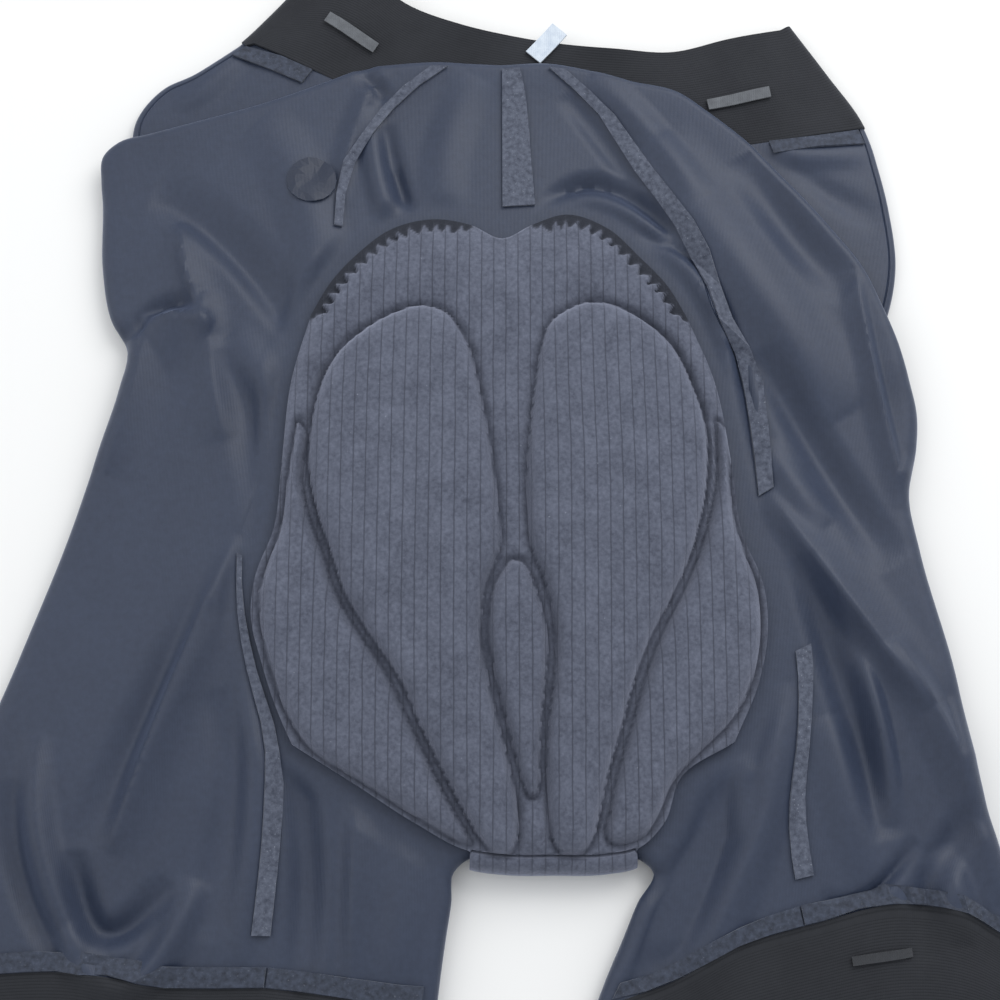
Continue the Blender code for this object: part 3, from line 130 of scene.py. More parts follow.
EDGE_RIGHT = (
    Edge(0.5, 186.6, 2.6, 6.6, 3),
    Edge(20, 187.4, 2.6, 6.6, 3),
    Edge(38, 184.0, 2.6, 6.6, 3),
    Edge(54, 179.4, 2.6, 6.6, 3),
    Edge(73, 174.6, 2.6, 6.6, 3),
    Edge(86, 165.0, 2.6, 6.6, 3),
    Edge(99, 153.8, 2.6, 6.6, 3),
    Edge(117, 133.9, 2.6, 6.6, 3),
    Edge(135, 111.6, 2.6, 6.6, 3),
    Edge(145, 98.0, 2.6, 6.6, 2),
    Edge(153, 80.3, 3.0, 6.6, 0),
    Edge(158.5, 65, 4.0, 6.4, 0),
    Edge(162.5, 50, 5.5, 2.0, 0),
    Edge(165, 36, 6, 0.6, 4),
    Edge(164, 22, 6, 0.6, 12),
    Edge(160, 4, 6, 0.6, 14),
    Edge(163, -20, 6, 0.6, 14),
    Edge(173, -64, 6, 0.6, 14),
    Edge(181, -113, 6, 0.6, 14),
    Edge(189, -145, 6, 0.6, 14),
    Edge(194.6, -169, 6, 0.6, 14),
)
# The crotch and inner leg, from the middle of the crotch to the gripper seam
INNER_LEFT = (
    Edge(20, -137.5, 5, 4.1, 10),
    Edge(4, -137.5, 5, 4.1, 10),
    Edge(-12, -137.6, 5, 4.1, 10),
    Edge(-17.5, -142.5, 5, 4.1, 10),
    Edge(-18.5, -154, 5, 3.0, 10),
    Edge(-20.5, -167, 5, 0.8, 10),
    Edge(-22, -178, 5, 0.6, 10),
    Edge(-23.7, -192, 5, 0.6, 10),
)
INNER_RIGHT = (
    Edge(20, -137.5, 5, 4.1, 10),
    Edge(36, -137.5, 5, 4.1, 10),
    Edge(52, -137.6, 5, 4.1, 10),
    Edge(57.5, -142.5, 5, 4.1, 10),
    Edge(51.5, -154, 5, 3.0, 10),
    Edge(45.5, -168, 5, 0.8, 10),
    Edge(40.5, -179, 5, 0.6, 10),
    Edge(36, -190, 5, 0.6, 10),
)
# Seam lines on the upper layer
Point = namedtuple("Point", "x y")
CENTRE_SEAM = (Point(0.5, 184), Point(0.8, 110), Point(3, 10), Point(11, -80), Point(20, -132.5))
LONG_SEAM_LEFT = (
    Point(-21.5, 185.3), Point(-40, 171), Point(-51, 156), Point(-60, 141), Point(-64.5, 108),
    Point(-76, 69), Point(-89, 24), Point(-100, -12),
)
LEG_SEAM_LEFT = (
    Point(-100, -12), Point(-98, -42), Point(-92.5, -66), Point(-83, -95), Point(-81.5, -125),
    Point(-83.5, -160), Point(-86, -184.6),
)
LONG_SEAM_RIGHT = (
    Point(19, 184.8), Point(37, 169), Point(56, 138), Point(75, 107), Point(84, 78), Point(95, 52),
    Point(99, 20), Point(101, -14),
)
LEG_SEAM_RIGHT = (
    Point(101, -14), Point(107, -38), Point(112.5, -62), Point(111.5, -90), Point(107, -122),
    Point(109, -146), Point(112, -162.5),
)
GRIP_SEAM_LEFT = (Point(-202, -181), Point(-160, -179), Point(-120, -184.5), Point(-86, -184.6))
GRIP_SEAM_LEFT_INNER = (Point(-86, -184.6), Point(-58, -188), Point(-28.5, -192))
GRIP_SEAM_RIGHT = (Point(189, -168), Point(170, -157.5), Point(150, -154.5), Point(112, -162.5))
GRIP_SEAM_RIGHT_INNER = (Point(112, -162.5), Point(88, -169.5), Point(62, -183), Point(41, -190))
HEM_LEFT = (Point(-205, -238), Point(-140, -239), Point(-34, -247))
HEM_RIGHT = (Point(201, -224), Point(165, -215), Point(115, -221), Point(28, -246))
WAIST_SEAM = (
    Point(-104, 199), Point(-90, 192.8), Point(-66, 181), Point(-41, 169), Point(0.5, 153.5),
    Point(30, 148.7), Point(65, 149.3), Point(105, 153.4), Point(147.5, 159.5),
)
WAIST_TOP = (
    Point(-84, 220), Point(-76, 229), Point(-66, 233), Point(-55, 229), Point(-40, 217),
    Point(-17, 207.5), Point(10, 201.5), Point(46, 196.4), Point(70, 195), Point(95, 200),
    Point(118.5, 204.6),
)
UPPER_END = (
    Point(-148, 143), Point(-120, 141), Point(-60, 142), Point(0.5, 133), Point(70, 124), Point(120, 82),
    Point(146, 62),
)

# Broad rises of the upper layer
Hill = namedtuple("Hill", "name x y reach_x reach_y rise")
HILLS = (
    Hill("seat", 3, -22, 74, 96, 9.0),
    Hill("left_hip", -105, 112, 45, 45, 2.5),
    Hill("right_hip", 100, 90, 45, 55, 4.0),
    Hill("left_thigh", -135, -90, 42, 80, 3.0),
    Hill("right_thigh", 145, -70, 38, 75, 3.0),
)
# Folds: spine through three points, rise, half widths to the left and right of the spine's
# direction, and how crisp the crest is, from 0 to 1
Fold = namedtuple("Fold", "name start middle end rise left right crisp")
FOLDS = (
    Fold("hip_valley", (-142, 127), (-111, 106), (-79, 63), -5.5, 17, 9, 0.2),
    Fold("hip_ridge", (-100, 160), (-78, 123), (-72, 69), 3.5, 16, 16, 0),
    Fold("hip_crease", (-129, 116), (-126, 95), (-116, 67), 4.5, 14, 7, 0.9),
    Fold("hip_crease_low", (-118, 86), (-115, 57), (-109, 24), 4, 10, 14, 0.7),
    Fold("tuck_crest", (-143, 73), (-130, 76), (-114, 72), 5, 5, 30, 0.8),
    Fold("tuck_valley", (-148, 66), (-134, 79), (-119, 81), -3.5, 8, 4, 0.3),
    Fold("tuck_side", (-140, 77), (-144, 57), (-156, 11), 4, 18, 5, 0.5),
    Fold("thigh_soft", (-109, 67), (-92, 49), (-74, 24), 3, 12, 12, 0),
    Fold("thigh_valley", (-110, 63), (-98, 28), (-92, -17), -3.5, 9, 12, 0.2),
    Fold("edge_dent", (-59, 188), (-53, 179), (-46, 170), -4, 5, 5, 0.3),
    Fold("seam_ridge", (-48, 183), (-58, 163), (-66, 125), 3, 6, 8, 0.7),
    Fold("leg_ridge", (-102, -15), (-125, -77), (-145, -136), 7, 16, 8, 0.8),
    Fold("leg_valley", (-113, -40), (-136, -90), (-154, -135), -3.5, 9, 12, 0.2),
    Fold("hook_down", (-174, -92), (-170, -135), (-153, -173), 7, 10, 9, 0.4),
    Fold("hook_round", (-161, -164), (-135, -184), (-112, -146), 6.5, 9, 9, 0.4),
    Fold("hook_outer", (-183, -109), (-179, -142), (-160, -178), -4, 8, 8, 0),
    Fold("hook_inner", (-158, -135), (-146, -165), (-122, -146), -6, 9, 8, 0.2),
    Fold("leg_hollow", (-108, -75), (-102, -113), (-109, -168), -3, 10, 10, 0),
    Fold("seam_swell", (-98, -52), (-91, -105), (-95, -176), 3, 7, 9, 0),
    Fold("inner_hollow", (-81, -87), (-72, -139), (-75, -192), -5, 10, 10, 0),
    Fold("inner_ridge", (-53, -105), (-54, -146), (-54, -190), 4, 14, 7, 0.5),
    Fold("inner_soft", (-37, -128), (-37, -160), (-42, -192), 2.5, 14, 14, 0),
    Fold("pad_side_ridge", (-73, 103), (-85, 44), (-103, -17), 3.5, 5, 14, 0.6),
    Fold("seat_left_ridge", (-53, 167), (-50, 136), (-40, 106), 4, 7, 7, 0.1),
    Fold("seat_left_valley", (-47, 160), (-41, 134), (-31, 108), -4, 5, 6, 0.1),
    Fold("seat_soft", (-10, 181), (-22, 147), (-21, 118), 2.2, 12, 12, 0),
    Fold("pad_top_valley", (14, 116), (41, 133), (74, 106), -5, 7, 6, 0.2),
    Fold("pad_top_band", (24, 122), (47, 122), (76, 97), 3, 5, 5, 0.3),
    Fold("pad_corner_valley", (54, 110), (69, 105), (83, 93), -3.5, 5, 5, 0.1),
    Fold("pad_corner_ridge", (60, 103), (80, 86), (91, 48), 4.5, 7, 7, 0.1),
    Fold("pad_right_valley", (78, 96), (93, 63), (98, 3), -5, 5, 5, 0.2),
    Fold("pad_right_ridge", (93, 34), (96, 11), (97, -13), 3, 4, 4, 0),
    Fold("seat_right_dip", (27, 174), (43, 152), (57, 130), -3, 6, 8, 0),
    Fold("hip_right_soft", (37, 181), (61, 156), (81, 125), 3, 10, 8, 0),
    Fold("hip_right_ridge", (61, 152), (98, 93), (136, 34), 6, 22, 18, 0),
    Fold("hip_right_valley", (99, 145), (121, 108), (141, 86), -5, 12, 12, 0),
    Fold("thigh_right_valley", (104, 61), (123, 22), (151, -27), -6, 12, 11, 0.1),
    Fold("hip_right_crest", (143, 95), (147, 57), (158, -3), 4.5, 4.5, 9, 0.8),
    Fold("thigh_right_bump", (105, 22), (115, 5), (127, -11), 3, 8, 8, 0),
    Fold("leg_right_ridge", (104, 3), (132, -40), (162, -82), 8, 18, 9, 0.7),
    Fold("leg_right_crest", (149, -56), (174, -104), (188, -155), 7, 8, 14, 0.6),
    Fold("leg_right_valley", (116, -23), (132, -79), (145, -131), -6, 10, 11, 0.1),
    Fold("leg_right_tuck", (137, -62), (144, -96), (146, -126), 5, 6, 7, 0.3),
    Fold("leg_right_soft", (124, -85), (129, -117), (137, -148), 3, 11, 11, 0),
    Fold("grip_right_valley", (118, -152), (136, -151), (155, -131), -4, 5, 5, 0.3),
    Fold("grip_right_ridge", (161, -135), (168, -151), (170, -169), 4, 10, 10, 0),
    Fold("grip_right_hollow", (181, -117), (160, -146), (155, -175), -4, 9, 9, 0),
    Fold("inner_right_hollow", (91, -104), (74, -140), (51, -190), -6, 16, 16, 0),
    Fold("inner_right_ridge", (105, -73), (97, -124), (69, -184), 5, 12, 14, 0.2),
    Fold("inner_right_bump", (90, -90), (90, -109), (87, -130), 2.5, 7, 7, 0),
    Fold("inner_right_soft", (57, -146), (51, -160), (42, -185), 2, 6, 6, 0),
)
# The pad
PAD_TOP = (
    Point(-75, 75), Point(-68, 88), Point(-58, 100), Point(-43, 112), Point(-26, 116), Point(-12, 113.5),
    Point(1, 107.5), Point(13, 113.5), Point(27, 118), Point(43, 112), Point(56, 99), Point(67, 86),
    Point(74, 73),
)
PAD_LEFT = (
    Point(-75, 75), Point(-82, 48), Point(-85, 12), Point(-87, -12), Point(-94, -33), Point(-95, -46),
    Point(-90, -66), Point(-84, -83), Point(-78, -96),
)
PAD_RIGHT = (
    Point(74, 73), Point(84, 47), Point(90, 12), Point(93, -14), Point(101, -36), Point(102, -50),
    Point(98, -72), Point(88, -95),
)
PAD_FOLD = (
    Point(-78, -96), Point(-54, -111), Point(-32, -125), Point(-11, -135.5), Point(2, -137.3),
    Point(20, -137.5), Point(40, -137), Point(50.5, -134.8), Point(61, -125), Point(67, -109), Point(88, -95),
)
Row = namedtuple("Row", "y left right")
LOBE_LEFT = (
    Row(78, -35, -28), Row(75, -43, -21), Row(69, -53, -16.5), Row(60, -63, -12), Row(47, -70, -9),
    Row(30, -73.5, -5.5), Row(10, -74, -2.5), Row(-8, -70, -0.5), Row(-22, -65, 0), Row(-38, -59.5, -5.5),
    Row(-54, -50, -7), Row(-74, -36.5, -4), Row(-90, -29.5, 0), Row(-106, -21.5, 4), Row(-122, -13, 6.5),
    Row(-133, -6, 6), Row(-137, -2, 4),
)
LOBE_RIGHT = (
    Row(79, 32, 42), Row(76, 26, 50), Row(71, 20, 58), Row(61, 16.3, 68), Row(46, 14, 75),
    Row(29, 12, 80), Row(11, 10.5, 80.5), Row(-6, 10.5, 78), Row(-22, 12, 73.5), Row(-38, 18, 66.5),
    Row(-56, 21, 57), Row(-74, 20, 50), Row(-90, 18, 45.5), Row(-108, 17.5, 40), Row(-124, 18.5, 36.5),
    Row(-134, 20.5, 33), Row(-137, 24, 29.5),
)
KEEL = (
    Row(-27, 3.5, 8), Row(-36, -2, 13), Row(-46, -4, 16), Row(-58, -4, 18), Row(-72, -1.5, 17.2),
    Row(-88, 2.5, 15.5), Row(-102, 6, 15), Row(-112, 9, 14.5), Row(-116, 11, 13),
)
WING_LEFT = (
    Row(30, -79.5, -78), Row(6, -82.5, -77), Row(-10, -84, -73), Row(-24, -88, -67.5), Row(-38, -92, -62.8),
    Row(-54, -90.5, -53.5), Row(-70, -86, -42.5), Row(-86, -79.5, -35), Row(-98, -71, -29),
    Row(-110, -52, -23), Row(-122, -33, -16.5), Row(-130, -19.5, -11.5), Row(-133, -14, -10),
)
WING_RIGHT = (
    Row(30, 84, 85.5), Row(6, 84, 89), Row(-10, 80.5, 90.5), Row(-24, 76, 94.5), Row(-38, 70, 98.5),
    Row(-54, 61.5, 99), Row(-70, 55, 96), Row(-86, 50.3, 88), Row(-98, 46.5, 76), Row(-110, 43, 64.5),
    Row(-122, 40.5, 59), Row(-129, 39, 54.5), Row(-132, 40, 49),
)
# Folds of the stretch between the waistband and the flap
UPPER_FOLDS = (
    Fold("right_swell", (98, 151), (128, 148), (152, 150), 2.5, 8, 8, 0),
    Fold("right_dip", (112, 140), (132, 132), (156, 118), -1.8, 9, 9, 0),
    Fold("left_swell", (-108, 196), (-122, 180), (-132, 168), 2.2, 9, 9, 0),
)
# Outer edges of the waistband and of the stretch below it
EDGE_WAIST_LEFT = (
    Edge(-87, 223, 3, 0.7, 0), Edge(-97, 211.5, 3, 0.7, 0), Edge(-108, 199.8, 3, 0.6, 9),
    Edge(-126, 186, 3, 0.6, 9), Edge(-140, 179, 3, 0.6, 9), Edge(-150.5, 165, 3, 0.6, 9),
    Edge(-152, 147, 3, 0.6, 9),
)
EDGE_WAIST_RIGHT = (
    Edge(121.5, 207, 3, 0.7, 0), Edge(136, 185, 3, 0.7, 0), Edge(150.7, 160.8, 3, 0.6, 9),
    Edge(156, 141, 3, 0.6, 9), Edge(159.5, 120, 3, 0.6, 9), Edge(160.5, 100, 3, 0.6, 9),
    Edge(156.5, 80, 3, 0.6, 9), Edge(149, 63, 3, 0.6, 9),
)
# Outer edges of the grippers, from their seams to the hems
EDGE_GRIP_LEFT = (Edge(-208, -181, 6, 0.7, 0), Edge(-208.5, -210, 5, 0.7, 0), Edge(-207, -238, 4, 0.7, 0))
EDGE_GRIP_RIGHT = (Edge(194.6, -169, 6, 0.7, 0), Edge(200, -196, 5, 0.7, 0), Edge(206, -224, 4, 0.7, 0))
INNER_GRIP_LEFT = (Edge(-23.7, -192, 5, 0.7, 0), Edge(-27, -220, 4.5, 0.7, 0), Edge(-30.5, -247, 4, 0.7, 0))
INNER_GRIP_RIGHT = (Edge(36, -190, 5, 0.7, 0), Edge(30, -219, 4.5, 0.7, 0), Edge(24, -246, 4, 0.7, 0))
# The pad's front half, folded under the crotch: half width to the left and right, going forward
PAD_RETURN = (
    Row(-137.5, -11, 50.5), Row(-128, -14, 54), Row(-112, -22, 62), Row(-90, -22, 62), Row(-66, -18, 58),
    Row(-46, -10, 50), Row(-34, 2, 38),
)


# Smooth curves
def columns(rows):
    return np.array([tuple(row) for row in rows], float)


def lengths(points):
    steps = np.hypot(*np.diff(points[:, :2], axis=0).T)
    return np.concatenate([[0.0], np.cumsum(steps)])


def smooth(rows, fine=10):
    """A dense curve through the rows: place is cubic, every other column is read straight."""
    data = columns(rows)
    reach = lengths(data)
    slope = np.gradient(data[:, :2], reach, axis=0)
    share = np.linspace(0, 1, fine, endpoint=False)[:, None]
    curve = []
    for first in range(len(data) - 1):
        span = reach[first + 1] - reach[first]
        near, far = data[first], data[first + 1]
        place = (2 * share**3 - 3 * share**2 + 1) * near[:2] + (3 * share**2 - 2 * share**3) * far[:2]
        place += (share**3 - 2 * share**2 + share) * span * slope[first]
        place += (share**3 - share**2) * span * slope[first + 1]
        curve.append(np.hstack([place, near[2:] + share * (far[2:] - near[2:])]))
    curve.append(data[-1:])
    return np.vstack(curve)


def read_at(curve, places):
    reach = lengths(curve)
    return np.stack([np.interp(places, reach, column) for column in curve.T], axis=1)


def stations(curve, count, crowd=1.0):
    """count steps along a dense curve; a crowd above 1 makes the first steps shorter."""
    return read_at(curve, lengths(curve)[-1] * np.linspace(0, 1, count + 1)**crowd)


def nearest(curve, x, y):
    return int(np.argmin(np.hypot(curve[:, 0] - x, curve[:, 1] - y)))


def outward(curve, side, window=3):
    """Unit directions square to a dense curve; side is 1 where they lie to its left."""
    ahead = np.vstack([curve[window:, :2], np.repeat(curve[-1:, :2], window, axis=0)])
    behind = np.vstack([np.repeat(curve[:1, :2], window, axis=0), curve[:-window, :2]])
    run = ahead - behind
    run /= np.linalg.norm(run, axis=1)[:, None]
    return side * np.stack([-run[:, 1], run[:, 0]], axis=1)


def edge_curve(rows, side, start=None):
    """A dense outer edge with columns x, y, roll, low, back and its outward direction."""
    curve = smooth(rows)
    away = outward(curve, side)
    if start:
        away[0] = start
    return np.hstack([curve, away])


def turn_in(edge):
    """The line where the roll of an edge begins, on top of the garment."""
    return edge[:, :2] - edge[:, 5:7] * edge[:, 2:3]


def turn_end(edge, gap=2.0):
    """The line just inside the end of the cloth that an edge rolls under."""
    return edge[:, :2] - edge[:, 5:7] * (edge[:, 2:3] + edge[:, 4:5] + gap)


# Heights of the upper layer
def bend(start, middle, end, count=12):
    share = np.linspace(0, 1, count)[:, None]
    start, middle, end = (np.array(point, float) for point in (start, middle, end))
    control = 2 * middle - (start + end) / 2
    return (1 - share)**2 * start + 2 * share * (1 - share) * control + share**2 * end


def line_distance(x, y, line):
    """Distance to a polyline, the share of the way along it and the side, left being positive."""
    best = np.full(x.shape, np.inf)
    share = np.zeros(x.shape)
    side = np.ones(x.shape)
    total = lengths(line)
    for index in range(len(line) - 1):
        run = line[index + 1, :2] - line[index, :2]
        size = max(float(run @ run), 1e-9)
        part = np.clip(((x - line[index, 0]) * run[0] + (y - line[index, 1]) * run[1]) / size, 0, 1)
        off_x, off_y = x - line[index, 0] - part * run[0], y - line[index, 1] - part * run[1]
        gap = np.hypot(off_x, off_y)
        closer = gap < best
        best = np.where(closer, gap, best)
        share = np.where(closer, (total[index] + part * math.sqrt(size)) / total[-1], share)
        side = np.where(closer, np.where(run[0] * off_y - run[1] * off_x >= 0, 1.0, -1.0), side)
    return best, share, side


def fold_height(fold, x, y):
    """A fold's rise; only points near its spine are worked out."""
    line = bend(fold.start, fold.middle, fold.end)
    reach = max(fold.left, fold.right)
    low, high = line.min(axis=0) - reach, line.max(axis=0) + reach
    near = (x > low[0]) & (x < high[0]) & (y > low[1]) & (y < high[1])
    rise = np.zeros(x.shape)
    if not near.any():
        return rise
    gap, share, side = line_distance(x[near], y[near], line)
    ratio = np.clip(gap / np.where(side > 0, fold.left, fold.right), 0, 1)
    bell = 0.5 * (1 + np.cos(math.pi * ratio))
    crest = (1 - ratio)**2
    rise[near] = fold.rise * np.sin(math.pi * share)**0.7 * ((1 - fold.crisp) * bell + fold.crisp * crest)
    return rise


def inside(x, y, outline):
    """How far a point lies inside a closed outline, negative outside it."""
    gap, _, _ = line_distance(x, y, np.vstack([outline, outline[:1]]))
    crossing = np.zeros(x.shape, int)
    for near, far in zip(outline, np.roll(outline, -1, axis=0)):
        spans = (near[1] > y) != (far[1] > y)
        rise = far[1] - near[1] if far[1] != near[1] else 1e-9
        crossing += spans & (x < (far[0] - near[0]) * (y - near[1]) / rise + near[0])
    return np.where(crossing % 2 == 1, gap, -gap)


def ease(value):
    value = np.clip(value, 0, 1)
    return value * value * (3 - 2 * value)


FLAP_LINE = np.vstack([smooth(EDGE_LEFT)[90::-1, :2], smooth(EDGE_RIGHT)[1:115, :2]])[::3]
PAD_OUTLINE = np.vstack([
    smooth(PAD_TOP, 3), smooth(PAD_RIGHT, 3)[1:], smooth(PAD_FOLD, 3)[::-1][1:],
    smooth(PAD_LEFT, 3)[::-1][1:-1],
])


def underlay(x, y):
    """How far the pad's front half lifts the cloth that lies on it."""
    low, high = PAD_RETURN[-1].y, PAD_RETURN[0].y - PAD_TONGUE_ROLL
    middle_x, middle_y = 20.0, (low + high) / 2
    off_x = np.clip(np.abs(np.asarray(x, float) - middle_x) - 42, 0, None)
    off_y = np.clip(np.abs(np.asarray(y, float) - middle_y) - abs(high - low) / 2, 0, None)
    return PAD_RETURN_RISE * ease(1 - (np.hypot(off_x, off_y) - UNDERLAY_MARGIN) / 16)


def height(x, y):
    """Middle of the upper layer's cloth above the surface."""
    x, y = np.asarray(x, float), np.asarray(y, float)
    flap, _, _ = line_distance(x, y, FLAP_LINE)
    near_flap = np.exp(-(flap / 14)**2)
    level = LEG_LEVEL + (FLAP_LEVEL - LEG_LEVEL) * near_flap
    level = level + (HEM_LEVEL - LEG_LEVEL) * ease((HEM_START - y) / HEM_RUN)
    for hill in HILLS:
        off = ((x - hill.x) / hill.reach_x)**2 + ((y - hill.y) / hill.reach_y)**2
        level = level + hill.rise * np.exp(-off)
    folds = sum(fold_height(fold, x, y) for fold in FOLDS)
    level = level + folds * ease((-inside(x, y, PAD_OUTLINE) - PAD_MARGIN) / PAD_SHADOW)
    least = LEAST_OVER_FRONT + (LEAST_OVER_LAYERS - LEAST_OVER_FRONT) * ease((LAYER_REACH + 8 - flap) / 8)
    least = least + FLAP_STIFFNESS * np.exp(-(flap / 7)**2)
    least = least + underlay(x, y)
    return least + np.log1p(np.exp((level - least) * 2.0)) / 2.0


def upper_height(x, y):
    """Middle of the stretch between the waistband and the flap."""
    x, y = np.asarray(x, float), np.asarray(y, float)
    flap, _, side = line_distance(x, y, FLAP_LINE)
    clear = ease((np.where(side > 0, flap, 0) - 3) / 10)
    return WAIST_LEVEL + clear * sum(fold_height(fold, x, y) for fold in UPPER_FOLDS)


def waist_height(x, y):
    """Middle of the waistband's upper wall, which waves above the flap."""
    x, y = np.asarray(x, float), np.asarray(y, float)
    flap, _, side = line_distance(x, y, FLAP_LINE)
    free = ease((np.where(side > 0, flap, 0) - 4) / 22)
    fade = np.exp(-((x - WAVE_FADE[0]) / WAVE_FADE[1])**2)
    wave = WAVE_RISE + WAVE_SWING * np.cos((x - WAVE_MIDDLE) / WAVE_HALF * math.pi) * fade
    return WAIST_LEVEL + free * (wave + WAVE_SWING * np.exp(-((x - BULGE_MIDDLE) / BULGE_REACH)**2))


def lifted(level, x, y):
    x, y = np.asarray(x, float), np.asarray(y, float)
    return np.stack([x, y, level(x, y)], axis=-1)


# Middle sheets
class Sheet:
    """Points with their place on the flat cloth, and the quads between them."""

    def __init__(self):
        self.points, self.flat = np.zeros((0, 3)), np.zeros((0, 2))
        self.quads = np.zeros((0, 4), int)

    def add(self, points, flat=None):
        """Adds an array of points and returns their numbers in its shape."""
        shape = points.shape[:-1]
        first = len(self.points)
        flat = points[..., :2] if flat is None else flat
        self.points = np.vstack([self.points, points.reshape(-1, 3)])
        self.flat = np.vstack([self.flat, flat.reshape(-1, 2)])
        return np.arange(first, len(self.points)).reshape(shape)

    def join(self, grid):
        quads = np.stack([grid[:-1, :-1], grid[:-1, 1:], grid[1:, 1:], grid[1:, :-1]], axis=-1)
        self.quads = np.vstack([self.quads, quads.reshape(-1, 4)])

    def normals(self):
        """Unit normals, upwards where the sheet lies face up."""
        corner = self.points[self.quads]
        face = np.cross(corner[:, 2] - corner[:, 0], corner[:, 3] - corner[:, 1])
        normal = np.zeros_like(self.points)
        for index in range(4):
            np.add.at(normal, self.quads[:, index], face)
        return normal / np.maximum(np.linalg.norm(normal, axis=1), 1e-9)[:, None]

    def turn_over(self):
        self.quads = self.quads[:, ::-1]


def patch(top, bottom, left, right):
    """A grid between four edges that meet at their ends."""
    rows, cols = len(left), len(top)
    across = np.linspace(0, 1, cols)[None, :, None]
    down = np.linspace(0, 1, rows)[:, None, None]
    plain = ((1 - across) * (1 - down) * top[0] + across * (1 - down) * top[-1]
             + (1 - across) * down * bottom[0] + across * down * bottom[-1])
    return ((1 - down) * top[None] + down * bottom[None] + (1 - across) * left[:, None]
            + across * right[:, None] - plain)


def rolled(edge, tops):
    """Rings of points from the top of a rolled edge round to the cloth that runs back under it."""
    roll, low, back, away = edge[:, 2], edge[:, 3], edge[:, 4], edge[:, 5:7]
    start = turn_in(edge)
    middle, half = (tops + low) / 2, (tops - low) / 2
    points, flat = [], []
    for step in range(1, ROLL_STEPS + 1):
        turn = math.pi * (0.5 - step / ROLL_STEPS)
        plan = start + away * (roll * math.cos(turn))[:, None]
        points.append(np.column_stack([plan, middle + half * math.sin(turn)]))
        flat.append(start + away * (roll * math.pi * step / ROLL_STEPS)[:, None])
    if back.max() > 0:
        for share in (0.5, 1.0):
            run = np.maximum(back, 1.2) * share
            points.append(np.column_stack([start - away * run[:, None], low]))
            flat.append(start + away * (roll * math.pi + run)[:, None])
    return np.stack(points, axis=1), np.stack(flat, axis=1)


def panel(plan, level, rims):
    """A sheet on a height function; rims pair an edge with the border of the grid that it rolls."""
    sheet = Sheet()
    grid = sheet.add(lifted(level, plan[..., 0], plan[..., 1]))
    sheet.join(grid)
    for edge, rows, cols in rims:
        border = grid[rows, cols]
        ring = sheet.add(*rolled(edge, sheet.points[border, 2]))
        sheet.join(np.column_stack([border, ring]))
    return sheet, grid


# Meshes
def to_row(points):
    return (np.asarray(points) - (*ORIGIN, 0.0)) * MM


def mesh_object(name, points, faces, material, flat=None, crease=38):
    """A mesh object at the origin with smooth shading and, where given, its flat cloth as UV map."""
    mesh = bpy.data.meshes.new(name)
    mesh.from_pydata(to_row(points).tolist(), [], faces.tolist() if hasattr(faces, "tolist") else faces)
    if flat is not None:
        corner = np.empty(len(mesh.loops), int)
        mesh.loops.foreach_get("vertex_index", corner)
        layer = mesh.uv_layers.new(name="flat cloth")
        layer.data.foreach_set("uv", (np.asarray(flat)[corner] * MM).ravel())
    mesh.materials.append(material)
    mesh.shade_smooth()
    mesh.set_sharp_from_angle(angle=math.radians(crease))
    item = bpy.data.objects.new(name, mesh)
    bpy.context.scene.collection.objects.link(item)
    return item


def shell(name, sheet, material, above, below, crease=50):
    """A closed wall round a middle sheet, above and below it by the given thicknesses."""
    normals = sheet.normals()
    count = len(sheet.points)
    above, below = (np.broadcast_to(np.asarray(side, float), count)[:, None] for side in (above, below))
    points = np.vstack([sheet.points + normals * above, sheet.points - normals * below])
    points[:, 2] = np.maximum(points[:, 2], 0.0)
    quads = sheet.quads
    pairs = np.vstack([quads[:, [0, 1]], quads[:, [1, 2]], quads[:, [2, 3]], quads[:, [3, 0]]])
    key = np.sort(pairs, axis=1)
    _, first, uses = np.unique(key[:, 0] * count + key[:, 1], return_index=True, return_counts=True)
    rim = pairs[first[uses == 1]]
    sides = np.column_stack([rim[:, 1], rim[:, 0], rim[:, 0] + count, rim[:, 1] + count])
    faces = np.vstack([quads, quads[:, ::-1] + count, sides])
    return mesh_object(name, points, faces, material, np.vstack([sheet.flat, sheet.flat]), crease)


# Shared edges
OUT_LEFT = edge_curve(EDGE_LEFT, -1, (0, 1))
OUT_RIGHT = edge_curve(EDGE_RIGHT, 1, (0, 1))
IN_LEFT = edge_curve(INNER_LEFT, 1, (0, -1))
IN_RIGHT = edge_curve(INNER_RIGHT, -1, (0, -1))
BACK_COLUMNS = 56
SIDE_COLUMNS = 84
HIP_ROWS = 118
LEG_ROWS = 118
GRIP_ROWS = 38
GRIP_TURN_ROWS = 30
CENTRE_CROWD = 1.5
WAIST_ROWS = 34
WAIST_COLUMNS = 90
UPPER_ROWS = 40
FRONT_ROWS = 70
FRONT_COLUMNS = 26
WAIST_SPLIT = 0.5


def along_grip(edge, seam_point, blend=GRIP_TURN_ROWS):
    """Turns the last stations of an edge so that its roll follows the gripper's seam line."""
    away = edge[-1, :2] - np.array(seam_point)
    away /= np.linalg.norm(away)
    share = (1 - np.arange(blend) / blend)[::-1, None]
    mixed = edge[-blend:, 5:7] * (1 - share) + away * share
    edge[-blend:, 5:7] = mixed / np.linalg.norm(mixed, axis=1)[:, None]
    return edge


